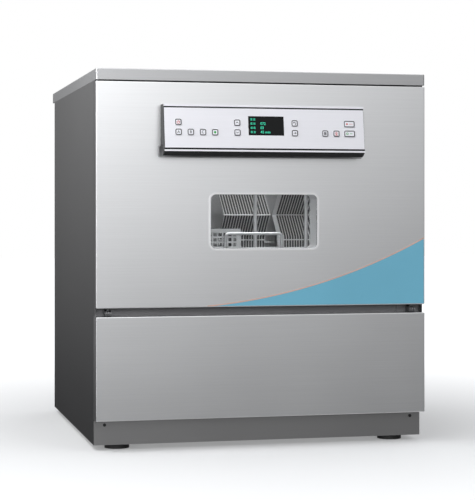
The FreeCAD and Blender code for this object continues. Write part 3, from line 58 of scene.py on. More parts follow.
# %% [markdown]
# The picture was taken from the left at about the height of the window, with the camera held level.
# A level camera keeps upright edges upright, and the small vertical shift moves the picture frame
# instead of tilting the camera, as an architect's camera does. The camera could be set by eye, but its
# place and lens were worked out from the corners of the casing, so every edge falls where it should.

# %% Camera
YAW = math.radians(13.39)
EYE = Vector((-0.87608, -3.79348, 0.52285))
PICTURE_LONG_SIDE = 500
FOCAL_PIXELS = 1591.78
SENSOR = 36.0
RISE_PIXELS = -38.22

lens = bpy.data.cameras.new("studio_camera")
lens.sensor_width = SENSOR
lens.lens = FOCAL_PIXELS / PICTURE_LONG_SIDE * SENSOR
lens.shift_y = RISE_PIXELS / PICTURE_LONG_SIDE
camera = bpy.data.objects.new("studio_camera", lens)
camera.location = EYE
camera.rotation_euler = (math.pi / 2, 0, -YAW)
bpy.context.scene.collection.objects.link(camera)
bpy.context.scene.camera = camera
bpy.context.scene.view_settings.view_transform = "Standard"
print("lens", round(lens.lens, 1), "mm")

# %% [markdown]
# The world, the floor and all finishes are trees of shader nodes. These few helpers keep the trees
# short to write and to read.


# %% Node tools
def link(tree, source, output, target, socket):
    """Joins an output to an input, each given by its name or its number."""
    tree.links.new(source.outputs[output], target.inputs[socket])


def math_node(tree, operation):
    """One sum, product or maximum of two numbers."""
    node = tree.nodes.new("ShaderNodeMath")
    node.operation = operation
    return node


def ramp(tree, reach, first=0.0, last=1.0):
    """A straight change from the first value to the last one over a reach of the input."""
    node = tree.nodes.new("ShaderNodeMapRange")
    node.inputs["From Min"].default_value = reach[0]
    node.inputs["From Max"].default_value = reach[1]
    node.inputs["To Min"].default_value = first
    node.inputs["To Max"].default_value = last
    return node


def background(tree, color, strength=1.0):
    """A plain light of the world."""
    node = tree.nodes.new("ShaderNodeBackground")
    node.inputs["Color"].default_value = color
    node.inputs["Strength"].default_value = strength
    return node


print("node tools ready")

# %% [markdown]
# Brushed steel shows the room more than it shows itself. The room in front of the washer is brightest
# high up on the left and falls away downward and to the right, which gives the slow fall from light
# to dark across the door. The wall behind it brightens upward, and steep downward reflections meet
# pale ground. Large softboxes could give the same fall, but they would light the painted parts as well.
# Ramps in the world, which only reflections see, can be set for the steel alone. A direction has X, Y
# and Z parts between -1 and 1, and every ramp below changes the brightness over a reach of one part.

# %% Room that the steel reflects
LEFT_BRIGHT = 3.5
RIGHT_DIM = 0.36
WALL_BRIGHT = 1.3
GROUND_BRIGHT = 0.75
LEFT_TO_RIGHT = (-0.2, 0.5)
LOW_TO_HIGH = (-0.13, 0.13)
WALL_FOOT_TO_TOP = (-0.12, 0.50)
FRONT_TO_WALL = (-0.25, 0.35)
STEEP_TO_SHALLOW = (-0.52, -0.30)

world = bpy.data.worlds.new("studio")
bpy.context.scene.world = world
world.use_nodes = True
tree = world.node_tree
tree.nodes.clear()
direction = tree.nodes.new("ShaderNodeTexCoord")
split = tree.nodes.new("ShaderNodeSeparateXYZ")
leftward = ramp(tree, LEFT_TO_RIGHT, LEFT_BRIGHT, RIGHT_DIM)
upward = ramp(tree, LOW_TO_HIGH)
wall = ramp(tree, WALL_FOOT_TO_TOP, 0.0, WALL_BRIGHT)
toward_wall = ramp(tree, FRONT_TO_WALL)
ground = ramp(tree, STEEP_TO_SHALLOW, GROUND_BRIGHT, 0.0)
front = math_node(tree, "MULTIPLY")
with_ground = math_node(tree, "ADD")
link(tree, direction, "Generated", split, "Vector")
link(tree, split, "X", leftward, "Value")
link(tree, split, "Z", upward, "Value")
link(tree, split, "Y", toward_wall, "Value")
link(tree, split, "Z", wall, "Value")
link(tree, split, "Z", ground, "Value")
link(tree, leftward, "Result", front, 0)
link(tree, upward, "Result", front, 1)
link(tree, front, 0, toward_wall, "To Min")
link(tree, wall, "Result", toward_wall, "To Max")
link(tree, toward_wall, "Result", with_ground, 0)
link(tree, ground, "Result", with_ground, 1)
print("steel brightness from", RIGHT_DIM, "to", LEFT_BRIGHT)

# %% [markdown]
# The camera sees plain white, also through the window glass, and that is the background of the
# picture. Rays that leave a glossy surface see the room of ramps, and all others an even pale light.

# %% World
ROOM_LIGHT = 1.0

path = tree.nodes.new("ShaderNodeLightPath")
white = background(tree, (1, 1, 1, 1))
room = background(tree, (0.97, 0.98, 1.0, 1), ROOM_LIGHT)
reflected = background(tree, (0.8, 0.8, 0.8, 1))
mirror = tree.nodes.new("ShaderNodeMixShader")
clear = math_node(tree, "MAXIMUM")
seen = tree.nodes.new("ShaderNodeMixShader")
out = tree.nodes.new("ShaderNodeOutputWorld")
link(tree, with_ground, 0, reflected, "Strength")
link(tree, path, "Is Glossy Ray", mirror, "Fac")
link(tree, room, 0, mirror, 1)
link(tree, reflected, 0, mirror, 2)
link(tree, path, "Is Camera Ray", clear, 0)
link(tree, path, "Is Transmission Ray", clear, 1)
link(tree, clear, 0, seen, 0)
link(tree, mirror, 0, seen, 1)
link(tree, white, 0, seen, 2)
link(tree, seen, 0, out, "Surface")
print("world nodes", len(tree.nodes))

# %% [markdown]
# Four softboxes stand in front of, to the left of and above the washer. They mostly light the painted
# and moulded parts, because the steel takes its brightness from the world. A small lamp under the roof
# of the wash chamber makes the baskets readable through the window.


# %% Lamps
def soft_lamp(name, place, aim, size, watts):
    """A rectangular studio softbox that points from its place to its aim."""
    data = bpy.data.lights.new(name, "AREA")
    data.shape = "RECTANGLE"
    data.size, data.size_y = size
    data.energy = watts
    lamp = bpy.data.objects.new(name, data)
    lamp.location = place
    lamp.rotation_euler = (Vector(aim) - Vector(place)).to_track_quat("-Z", "Y").to_euler()
    bpy.context.scene.collection.objects.link(lamp)


front_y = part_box("door_skin")[0].y
door_middle = (0, front_y, 0.6)
soft_lamp("key_softbox", place=(-1.0, front_y - 2.8, 1.95), aim=door_middle, size=(2.4, 1.5), watts=12)
soft_lamp("near_softbox", place=(-0.85, front_y - 0.9, 1.35), aim=(-0.30, front_y, 0.75),
          size=(0.8, 0.6), watts=3)
soft_lamp("left_softbox", place=(-0.95, -0.40, 1.15), aim=(-0.376, 0.0, 0.75), size=(0.4, 0.4), watts=8)
soft_lamp("top_softbox", place=(0.0, front_y + 0.3, 2.3), aim=(0, front_y + 0.3, 0.8),
          size=(1.6, 1.2), watts=6)
chamber_low, chamber_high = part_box("wash_chamber")
roof = Vector((0, chamber_low.y + 0.17, chamber_high.z - 0.012))
soft_lamp("chamber_lamp", place=roof, aim=roof + Vector((0, 0.1, -0.5)), size=(0.46, 0.30), watts=3.4)

# %% [markdown]
# The washer stands on one wide flat sheet, whose own edges lie far behind and beside the washer.

# %% Floor
FLOOR_HALF = 14.0

floor_mesh = bpy.data.meshes.new("studio_floor")
bm = bmesh.new()
bmesh.ops.create_grid(bm, x_segments=1, y_segments=1, size=FLOOR_HALF)
bm.to_mesh(floor_mesh)
bm.free()
floor = bpy.data.objects.new("studio_floor", floor_mesh)
bpy.context.scene.collection.objects.link(floor)
print("floor half width", FLOOR_HALF)

# %% [markdown]
# The floor's own glow grows with the distance from the washer, so the floor runs into a white
# background, and the weaker glow near the washer is painted shade around it, on top of the real shadow
# near the feet. Only the camera meets that pale floor, also through glass. The steel doesn't mirror the
# floor, because the world already gives the steel its reflections, and a darker floor keeps stray light
# off the washer's lower parts.

# %% Floor finish
GLOW_REACH = (0.5, 1.9)
# Painted shade: the floor glows less near the washer than far from it.
NEAR_GLOW = 0.22
FAR_GLOW = 0.72

floor_finish = bpy.data.materials.new("pale_floor")
floor_finish.use_nodes = True
tree = floor_finish.node_tree
tree.nodes.clear()
path = tree.nodes.new("ShaderNodeLightPath")
seen_floor = tree.nodes.new("ShaderNodeBsdfDiffuse")
seen_floor.inputs["Color"].default_value = (0.46, 0.465, 0.47, 1)
other_floor = tree.nodes.new("ShaderNodeBsdfDiffuse")
other_floor.inputs["Color"].default_value = (0.14, 0.14, 0.145, 1)
glow = tree.nodes.new("ShaderNodeEmission")
glow.inputs["Color"].default_value = (1, 1, 1, 1)
place = tree.nodes.new("ShaderNodeTexCoord")
distance = tree.nodes.new("ShaderNodeVectorMath")
distance.operation = "LENGTH"
fade = ramp(tree, GLOW_REACH, NEAR_GLOW, FAR_GLOW)
bright = tree.nodes.new("ShaderNodeAddShader")
looked_at = math_node(tree, "MAXIMUM")
choice = tree.nodes.new("ShaderNodeMixShader")
unmirrored = tree.nodes.new("ShaderNodeBsdfTransparent")
mirrored = tree.nodes.new("ShaderNodeMixShader")
out = tree.nodes.new("ShaderNodeOutputMaterial")
link(tree, place, "Object", distance, 0)
link(tree, distance, "Value", fade, "Value")
link(tree, fade, "Result", glow, "Strength")
link(tree, seen_floor, 0, bright, 0)
link(tree, glow, 0, bright, 1)
link(tree, path, "Is Camera Ray", looked_at, 0)
link(tree, path, "Is Transmission Ray", looked_at, 1)
link(tree, looked_at, 0, choice, 0)
link(tree, other_floor, 0, choice, 1)
link(tree, bright, 0, choice, 2)
link(tree, path, "Is Glossy Ray", mirrored, 0)
link(tree, choice, 0, mirrored, 1)
link(tree, unmirrored, 0, mirrored, 2)
link(tree, mirrored, 0, out, "Surface")
floor.data.materials.append(floor_finish)
print("floor glow", NEAR_GLOW, "to", FAR_GLOW)

# %% [markdown]
# Most parts of the washer are sheet steel, and every sheet has a grain: long fine scratches left by
# the brushing belt. Moulded and painted parts have a close speckle instead. Both grains are shader
# groups, built once and placed in each finish with its own values, and both end in the same few nodes.


# %% Grain tools
def new_group(name, inputs, outputs):
    """An empty shader group with its sockets, and its two end nodes."""
    group = bpy.data.node_groups.new(name, "ShaderNodeTree")
    for title, kind, value in inputs:
        socket = group.interface.new_socket(title, in_out="INPUT", socket_type=kind)
        socket.default_value = value
    for title, kind in outputs:
        group.interface.new_socket(title, in_out="OUTPUT", socket_type=kind)
    return group, group.nodes.new("NodeGroupInput"), group.nodes.new("NodeGroupOutput")


def noise(group, scale, detail=2.0):
    """A noise texture with its scale and its detail."""
    node = group.nodes.new("ShaderNodeTexNoise")
    node.inputs["Scale"].default_value = scale
    node.inputs["Detail"].default_value = detail
    return node


def tone_and_roughness(group, given, result, tone_noise, rough_noise):
    """One noise shifts the tone about its middle, and the other one adds to the roughness."""
    centred = math_node(group, "SUBTRACT")
    centred.inputs[1].default_value = 0.5
    strength = math_node(group, "MULTIPLY_ADD")
    strength.inputs[2].default_value = 1.0
    tint = group.nodes.new("ShaderNodeVectorMath")
    tint.operation = "SCALE"
    rough = math_node(group, "MULTIPLY_ADD")
    link(group, tone_noise, "Fac", centred, 0)
    link(group, centred, 0, strength, 0)
    link(group, given, "Contrast", strength, 1)
    link(group, given, "Tone", tint, 0)
    link(group, strength, 0, tint, "Scale")
    link(group, rough_noise, "Fac", rough, 0)
    link(group, given, "Spread", rough, 1)
    link(group, given, "Roughness", rough, 2)
    link(group, tint, 0, result, "Color")
    link(group, rough, 0, result, "Roughness")


GRAIN_OUTPUTS = [("Color", "NodeSocketColor"), ("Roughness", "NodeSocketFloat"),
                 ("Height", "NodeSocketFloat")]
print("grain outputs", [title for title, kind in GRAIN_OUTPUTS])

# %% [markdown]
# The brushed grain is a noise texture squeezed hard across the brushing direction, so each spot of the
# noise becomes a long scratch. A slow cloud on top stands for the marks that hands and cloths leave.
# A photograph of brushed steel would do too, but noise needs no picture and never repeats.


# %% Brushed grain
def brushed_grain_group():
    """Streaks along one direction, and a slow cloud of handling marks."""
    group, given, result = new_group(
        "brushed_grain",
        [("Stretch", "NodeSocketVector", (6, 700, 700)), ("Tone", "NodeSocketColor", (0.7, 0.7, 0.7, 1)),
         ("Contrast", "NodeSocketFloat", 0.06), ("Roughness", "NodeSocketFloat", 0.35),
         ("Spread", "NodeSocketFloat", 0.08)],
        GRAIN_OUTPUTS)
    place = group.nodes.new("ShaderNodeTexCoord")
    squeeze = group.nodes.new("ShaderNodeVectorMath")
    squeeze.operation = "MULTIPLY"
    streaks = noise(group, 1.0, 4.0)
    cloud = noise(group, 3.5, 3.0)
    link(group, place, "Object", squeeze, 0)
    link(group, given, "Stretch", squeeze, 1)
    link(group, squeeze, 0, streaks, "Vector")
    link(group, place, "Object", cloud, "Vector")
    tone_and_roughness(group, given, result, streaks, cloud)
    link(group, streaks, "Fac", result, "Height")
    return group


brushed_grain = brushed_grain_group()
print("group", brushed_grain.name)

# %% [markdown]
# The fine grain is the speckle that a spark-eroded mould leaves on plastic, or that sprayed paint
# dries to. The speckle changes the roughness and the relief, and a slow cloud changes the tone. It is far
# too fine to model in the mesh, so a bump in the material carries it.


# %% Fine grain
def fine_grain_group():
    """The close speckle of moulded plastic, paint or rubber."""
    group, given, result = new_group(
        "fine_grain",
        [("Scale", "NodeSocketFloat", 900.0), ("Tone", "NodeSocketColor", (0.1, 0.1, 0.1, 1)),
         ("Contrast", "NodeSocketFloat", 0.1), ("Roughness", "NodeSocketFloat", 0.5),
         ("Spread", "NodeSocketFloat", 0.1)],
        GRAIN_OUTPUTS)
    place = group.nodes.new("ShaderNodeTexCoord")
    speckle = noise(group, 5.0)
    cloud = noise(group, 9.0)
    link(group, place, "Object", speckle, "Vector")
    link(group, given, "Scale", speckle, "Scale")
    link(group, place, "Object", cloud, "Vector")
    tone_and_roughness(group, given, result, cloud, speckle)
    link(group, speckle, "Fac", result, "Height")
    return group


fine_grain = fine_grain_group()
print("group", fine_grain.name)

# %% [markdown]
# Every finish starts from one of the two grains. A maker function sets the grain's values and wires it
# to a Principled shader, and each finish is then one entry with its tone and roughness. The door steel
# is a full metal, because what it shows is mostly the room. Painted and moulded parts aren't metals.


# %% Material makers
BUMP_DEPTH = 0.2 * MM


def surface(name, group, values, bump, **plain):
    """A Principled material whose colour, roughness and bump come from one shader group."""
    material = bpy.data.materials.new(name)
    material.use_nodes = True
    tree = material.node_tree
    shader = tree.nodes["Principled BSDF"]
    grain = tree.nodes.new("ShaderNodeGroup")
    grain.node_tree = group
    for title, value in values.items():
        grain.inputs[title].default_value = value
    relief = tree.nodes.new("ShaderNodeBump")
    relief.inputs["Strength"].default_value = bump
    relief.inputs["Distance"].default_value = BUMP_DEPTH
    link(tree, grain, "Color", shader, "Base Color")
    link(tree, grain, "Roughness", shader, "Roughness")
    link(tree, grain, "Height", relief, "Height")
    link(tree, relief, "Normal", shader, "Normal")
    for title, value in plain.items():
        shader.inputs[title.replace("_", " ")].default_value = value
    return material


def brushed_metal(name, tone, roughness, stretch, contrast=0.10, spread=0.06, bump=0.06, metallic=0.9):
    """A metal whose grain is stretched by three scales, the smallest one along the brushing."""
    values = {"Stretch": stretch, "Tone": (*tone, 1), "Contrast": contrast, "Roughness": roughness,
              "Spread": spread}
    return surface(name, brushed_grain, values, bump, Metallic=metallic)


def grained(name, tone, roughness, scale=900.0, contrast=0.12, spread=0.1, bump=0.15, **plain):
    """Plastic, paint or rubber with a fine speckle."""
    values = {"Scale": scale, "Tone": (*tone, 1), "Contrast": contrast, "Roughness": roughness,
              "Spread": spread}
    return surface(name, fine_grain, values, bump, **plain)


print("bump depth", BUMP_DEPTH)

# %% [markdown]
# The finishes follow, under the names that the record of the construction uses. A brushing direction
# is a set of noise scales along X, Y and Z. The small scale lies along the scratches.

# %% Finishes
SIDEWAYS = (5, 800, 800)
LENGTHWAYS = (800, 5, 800)
EVERY_WAY = (120, 120, 120)
SPANGLE = (30, 30, 30)
finishes = {
    "brushed_front": brushed_metal("brushed_front", (0.80, 0.81, 0.826), 0.28, SIDEWAYS, metallic=1.0),
    # The side panels are dark grey paint taken near black. The extra darkness is painted shade on the sides.
    "side_paint": grained("side_paint", (0.06, 0.06, 0.062), 0.26, scale=1400, spread=0.05, bump=0.05),
    "zinc_sheet": brushed_metal("zinc_sheet", (0.55, 0.56, 0.57), 0.46, SPANGLE, contrast=0.25),
    # The frame steel's dark tone is painted shade on the recessed strip between the door and the service
    # panel.
    "frame_steel": brushed_metal("frame_steel", (0.16, 0.16, 0.165), 0.42, LENGTHWAYS),
    # The kick plate is the service panel's brushed steel at a lower tone, and the lower tone is painted
    # shade.
    "dark_plinth": brushed_metal("dark_plinth", (0.33, 0.33, 0.335), 0.32, SIDEWAYS, metallic=0.98),
    "screw_steel": brushed_metal("screw_steel", (0.05, 0.05, 0.052), 0.35, EVERY_WAY),
    "foot_plastic": grained("foot_plastic", (0.012, 0.012, 0.013), 0.5),
    "chamber_steel": brushed_metal("chamber_steel", (0.68, 0.68, 0.69), 0.38, LENGTHWAYS, metallic=0.45),
    "seal_rubber": grained("seal_rubber", (0.02, 0.02, 0.021), 0.6),
    "filter_mesh": brushed_metal("filter_mesh", (0.62, 0.62, 0.62), 0.36, EVERY_WAY),
    "heater_steel": brushed_metal("heater_steel", (0.36, 0.35, 0.34), 0.4, EVERY_WAY),
    "arm_steel": brushed_metal("arm_steel", (0.8, 0.8, 0.81), 0.28, SIDEWAYS),
    "wire_steel": brushed_metal("wire_steel", (0.62, 0.62, 0.63), 0.28, EVERY_WAY, bump=0.02, metallic=0.6),
    "basket_sheet": brushed_metal("basket_sheet", (0.66, 0.66, 0.67), 0.36, EVERY_WAY, bump=0.02,
                                  metallic=0.5),
    "pump_paint": grained("pump_paint", (0.10, 0.12, 0.14), 0.4, scale=500, bump=0.2),
    "hose_rubber": grained("hose_rubber", (0.03, 0.03, 0.031), 0.55),
    "pump_plastic": grained("pump_plastic", (0.05, 0.05, 0.055), 0.45),
    "valve_plastic": grained("valve_plastic", (0.75, 0.75, 0.72), 0.42),
    "housing_black": grained("housing_black", (0.008, 0.008, 0.009), 0.5, scale=1600, spread=0.08, bump=0.08,
                             Specular_IOR_Level=0.2),
    "fitting_plastic": grained("fitting_plastic", (0.03, 0.03, 0.03), 0.5),
    "spring_steel": brushed_metal("spring_steel", (0.4, 0.4, 0.4), 0.35, EVERY_WAY),
    "lock_steel": brushed_metal("lock_steel", (0.6, 0.58, 0.52), 0.35, EVERY_WAY),
    "polished_trim": brushed_metal("polished_trim", (0.9, 0.9, 0.91), 0.28, EVERY_WAY, contrast=0.03,
                                   spread=0.02, bump=0.01, metallic=0.3),
    "fascia_aluminium": brushed_metal("fascia_aluminium", (0.80, 0.80, 0.84), 0.42, SIDEWAYS,
                                      contrast=0.08, spread=0.05, bump=0.04, metallic=0.1),
    "display_panel": grained("display_panel", (0.003, 0.004, 0.004), 0.10, spread=0.02, bump=0.01,
                              Specular_IOR_Level=0.15),
    "circuit_board": grained("circuit_board", (0.03, 0.16, 0.07), 0.4),
    "pocket_grey": grained("pocket_grey", (0.42, 0.42, 0.43), 0.45),
    "key_plastic": grained("key_plastic", (0.86, 0.86, 0.90), 0.38, scale=1600, spread=0.05, bump=0.04),
}
print("finishes", len(finishes))

# %% [markdown]
# The panes are thin flat glass. A thin pane hardly bends light, so it is made as a mostly clear
# surface with a sharp reflection on top. A glass shader that refracts would hold back the light that
# falls through the window into the chamber. The index is lower than that of real glass, which keeps
# the reflection faint and the chamber behind it readable.


# %% Window glass
PANE_IOR = 1.13


def pane_glass():
    """Clear where it is looked through, and a faint mirror at a slant."""
    material = bpy.data.materials.new("window_glass")
    material.use_nodes = True
    tree = material.node_tree
    tree.nodes.clear()
    grain = tree.nodes.new("ShaderNodeGroup")
    grain.node_tree = fine_grain
    for title, value in {"Scale": 40.0, "Tone": (0.965, 0.97, 0.97, 1), "Contrast": 0.01,
                         "Roughness": 0.02, "Spread": 0.02}.items():
        grain.inputs[title].default_value = value
    through = tree.nodes.new("ShaderNodeBsdfTransparent")
    mirror = tree.nodes.new("ShaderNodeBsdfGlossy")
    slant = tree.nodes.new("ShaderNodeFresnel")
    slant.inputs["IOR"].default_value = PANE_IOR
    either = tree.nodes.new("ShaderNodeMixShader")
    out = tree.nodes.new("ShaderNodeOutputMaterial")
    link(tree, grain, "Color", through, "Color")
    link(tree, grain, "Roughness", mirror, "Roughness")
    link(tree, slant, 0, either, 0)
    link(tree, through, 0, either, 1)
    link(tree, mirror, 0, either, 2)
    link(tree, either, 0, out, "Surface")
    return material


finishes["window_glass"] = pane_glass()
print("glass ready")

# %% [markdown]
# The record of the construction says which finish each node takes. The worktop is the one exception: it
# takes a rougher and darker brushed steel than the door, and its darker tone is painted shade on the top.

# %% Give every node its finish
for part in frame["record"]["subparts"]:
    piece = nodes[part["node"]]
    piece.data.materials.clear()
    piece.data.materials.append(finishes[part["material_slot"]])
# The worktop's darker tone is painted shade. The rougher grain is the steel's own.
worktop_shaded_steel = brushed_metal("worktop_shaded_steel", (0.46, 0.465, 0.475), 0.38, SIDEWAYS)
nodes["worktop"].data.materials[0] = worktop_shaded_steel

# %% [markdown]
# Printed and welded things are drawn as strokes. A stroke starts as a small circle, is pushed along
# each straight run and spun round each bend, which is how a bent wire is made in the workshop too. A
# curve with a round bevel is the other way, but a spin gives every bend its true radius by itself.


# %% Bent wire
def ring_edges(verts):
    """The edges that run between the given vertices."""
    chosen = set(verts)
    return [e for v in chosen for e in v.link_edges if e.other_vert(v) in chosen]


def only_verts(made):
    """The vertices among the things that an operator made."""
    return [thing for thing in made if isinstance(thing, bmesh.types.BMVert)]


def push(bm, edges, step):
    """Pushes a ring of edges along a straight run, and returns its far ring."""
    made = bmesh.ops.extrude_edge_only(bm, edges=edges)["geom"]
    verts = only_verts(made)
    bmesh.ops.translate(bm, verts=verts, vec=step)
    moved = set(verts)
    return [g for g in made if isinstance(g, bmesh.types.BMEdge) and set(g.verts) <= moved]


def turn(bm, edges, centre, axis, angle, steps):
    """Spins a ring of edges round a bend, and returns its far ring."""
    verts = list({v for e in edges for v in e.verts})
    last = bmesh.ops.spin(bm, geom=verts + edges, cent=centre, axis=axis, angle=angle, steps=steps,
                          use_merge=False, use_duplicate=False)["geom_last"]
    return [g for g in last if isinstance(g, bmesh.types.BMEdge)]


print("stroke tools ready")


# %% [markdown]
# A wire goes through a list of points. At each corner it stops short, is spun through the corner's
# angle and goes on, so all its bends have one radius. A finished bmesh becomes an object at the origin
# that rides on one body of the washer.


# %% Wires and pieces
def wire(bm, points, radius, bend=0.0, sides=8, steps=3, closed=False):
    """A round wire through the points, with one bend radius at every corner."""
    points = [Vector(p) for p in points]
    if closed:
        start = (points[0] + points[1]) / 2
        points = [start] + points[1:] + [points[0], start]
    first = (points[1] - points[0]).normalized()
    place = Matrix.Translation(points[0]) @ first.to_track_quat("Z", "Y").to_matrix().to_4x4()
    made = bmesh.ops.create_circle(bm, segments=sides, radius=radius, matrix=place)["verts"]
    edges = list(set(ring_edges(made)))
    begin = edges
    here = points[0]
    for before, corner, after in zip(points, points[1:], points[2:]):
        toward = (corner - before).normalized()
        away = (after - corner).normalized()
        angle = toward.angle(away)
        trim = bend * math.tan(angle / 2)
        edges = push(bm, edges, corner - toward * trim - here)
        axis = toward.cross(away).normalized()
        centre = corner - toward * trim + axis.cross(toward) * bend
        edges = turn(bm, edges, centre, axis, angle, steps)
        here = corner + away * trim
    edges = push(bm, edges, points[-1] - here)
    if not closed:
        bmesh.ops.edgeloop_fill(bm, edges=begin)
        bmesh.ops.edgeloop_fill(bm, edges=edges)


SHARP_ANGLE = math.radians(40)
SAME_PLACE = 0.001 * MM


def piece_from(bm, name, materials, body, smooth=True):
    """Closes a bmesh into an object that rides on a body."""
    bmesh.ops.remove_doubles(bm, verts=bm.verts, dist=SAME_PLACE)
    bmesh.ops.recalc_face_normals(bm, faces=bm.faces)
    mesh = bpy.data.meshes.new(name)
    bm.to_mesh(mesh)
    bm.free()
    if smooth:
        mesh.shade_smooth()
        mesh.set_sharp_from_angle(angle=SHARP_ANGLE)
    piece = bpy.data.objects.new(name, mesh)
    bpy.context.scene.collection.objects.link(piece)
    for finish in materials:
        mesh.materials.append(finish)
    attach(piece, body)
    return piece


print("pieces merge vertices within", SAME_PLACE)

# %% [markdown]
# The two racks are baskets of welded wire. Each wire runs down one wall, across the floor and up the
# opposite wall, so the walls and the floor share the same wires. Thicker rods close the rim, and
# runners on both sides carry the basket in its rails. A sheet with a see-through grid would look alike
# from far away, but only open wires keep their thickness and cross each other when the door is down.

# %% Baskets
WIRE = 1.6 * MM
ROD = 2.6 * MM
SECOND_ROD = 1.2 * WIRE
PITCH = 15 * MM
BEND = 7 * MM
RIM_STEP = 19 * MM
RUNNER_EDGE = 1.5 * MM


def steps_between(low, high, pitch):
    """Even places from low to high, as near to the pitch as a whole count allows."""
    count = max(1, round((high - low) / pitch))
    return [low + (high - low) * k / count for k in range(count + 1)]


def basket_wires(bm, half, front, rear, floor, rim, front_rim):
    """Cross wires, long wires and the rim rods of one basket, with a front wall of its own height."""
    inset = half - ROD
    for y in steps_between(front + BEND, rear - BEND, PITCH):
        wire(bm, [(-inset, y, rim), (-inset, y, floor), (inset, y, floor), (inset, y, rim)], WIRE, BEND, 6)
    for x in steps_between(-half + BEND, half - BEND, PITCH):
        low = floor + 2 * WIRE
        wire(bm, [(x, front + ROD, front_rim), (x, front + ROD, low), (x, rear - ROD, low),
                  (x, rear - ROD, rim)], WIRE, BEND, 6)
    for drop, radius in ((0, ROD), (RIM_STEP, SECOND_ROD)):
        left, right = -half + radius, half - radius
        near, far = front + radius, rear - radius
        corners = [(right, far, rim - drop), (left, far, rim - drop), (left, near, rim - drop)]
        if front_rim < rim:
            corners += [(left, near, front_rim - drop), (right, near, front_rim - drop)]
        corners.append((right, near, rim - drop))
        wire(bm, corners, radius, BEND, 8, 4, closed=True)


def runner(bm, side, half, edge, front, rear, low, high):
    """A plain bar that slides in the rail, with softened ends."""
    centre = Vector((side * (half + edge) / 2, (front + rear) / 2, (low + high) / 2))
    size = Vector((edge - half, rear - front, high - low))
    place = Matrix.Translation(centre) @ Matrix.Diagonal((*size, 1))
    made = bmesh.ops.create_cube(bm, size=1.0, matrix=place)["verts"]
    edges = list({e for v in made for e in v.link_edges})
    bmesh.ops.bevel(bm, geom=edges, offset=RUNNER_EDGE, segments=2, affect="EDGES", profile=0.5,
                    material=-1)


print("rim rods", ROD, SECOND_ROD)

# %% [markdown]
# Both baskets have the same plan, and differ only in their levels. They end a little short of the
# chamber's rear wall.

# %% Basket places
RUNNER_WIDTH = 13.5 * MM
RUNNER_HEIGHT = 10.4 * MM
BASKET_DEPTH = 432 * MM
REAR_GAP = 29.5 * MM
WALL_TOP = {"lower_basket": 466 * MM, "upper_basket": 664 * MM}
FRONT_TOP = {"lower_basket": 442 * MM, "upper_basket": 664 * MM}
FLOOR_LEVEL = {"lower_basket": 396 * MM, "upper_basket": 610 * MM}
RAIL_LOW = {"lower_basket": 387.8 * MM, "upper_basket": 601.8 * MM}
basket_rear = chamber_high.y - REAR_GAP
basket_front = basket_rear - BASKET_DEPTH


def basket(name):
    """The welded wires and both runners of one basket, still open for what else it carries."""
    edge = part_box(name)[1].x
    half = edge - RUNNER_WIDTH
    bm = bmesh.new()
    basket_wires(bm, half, basket_front, basket_rear, FLOOR_LEVEL[name] + WIRE,
                 WALL_TOP[name] - ROD, FRONT_TOP[name] - ROD)
    low = RAIL_LOW[name]
    for side in (-1, 1):
        runner(bm, side, half, edge, basket_front, basket_rear, low, low + RUNNER_HEIGHT)
    print(name, "faces", len(bm.faces))
    return bm


print("baskets from", round(basket_front, 4), "to", round(basket_rear, 4))

# %% [markdown]
# The lower basket's front wall dips below the others, so that tall glassware is easy to reach. A
# bent handle of thick wire stands in the middle of the dip, and it is what shows through the window.

# %% Lower basket
HANDLE_WIRE = 3.4 * MM
HANDLE_HALF = 66 * MM
HANDLE_LEG = 48 * MM
HANDLE_RISE = 7 * MM
HANDLE_OUT = 3 * MM
HANDLE_BEND = 8 * MM

bm = basket("lower_basket")
leg_low = WALL_TOP["lower_basket"] - HANDLE_LEG
bar_level = WALL_TOP["lower_basket"] + HANDLE_RISE
bar_y = basket_front - HANDLE_OUT
wire(bm, [(-HANDLE_HALF, basket_front, leg_low), (-HANDLE_HALF, bar_y, bar_level),
          (HANDLE_HALF, bar_y, bar_level), (HANDLE_HALF, basket_front, leg_low)],
     HANDLE_WIRE, HANDLE_BEND, 12, 5)
piece = piece_from(bm, "lower_basket_wires", [finishes["wire_steel"]], "lower_basket")
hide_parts("lower_basket")
print("handle bar at", round(bar_level, 4))

# %% [markdown]
# The small parts basket is punched sheet. Each wall starts as a grid whose lines are moved so that wide
# bars and small square cells take turns, and the small cells are taken out before the sheet gets its
# thickness. Boolean cutters could punch the holes one by one, but the grid does it in one step and
# leaves only clean four-sided faces. The inner faces and the walls of the holes take a dark finish, which
# is painted shade inside the basket, so the holes are easy to tell from the sheet through the window.

# %% Punched sheet
HOLE = 7.4 * MM
HOLE_PITCH = 11.5 * MM
HOLE_MARGIN = 5.0 * MM
SHEET = 1.5 * MM


def punched_lines(length):
    """Grid lines along one side of a sheet: margin, hole, bar, hole, ... margin."""
    count = int((length - 2 * HOLE_MARGIN - HOLE) / HOLE_PITCH) + 1
    start = (length - (count - 1) * HOLE_PITCH - HOLE) / 2
    lines = [0]
    for k in range(count):
        lines += [start + k * HOLE_PITCH, start + k * HOLE_PITCH + HOLE]
    return lines + [length]


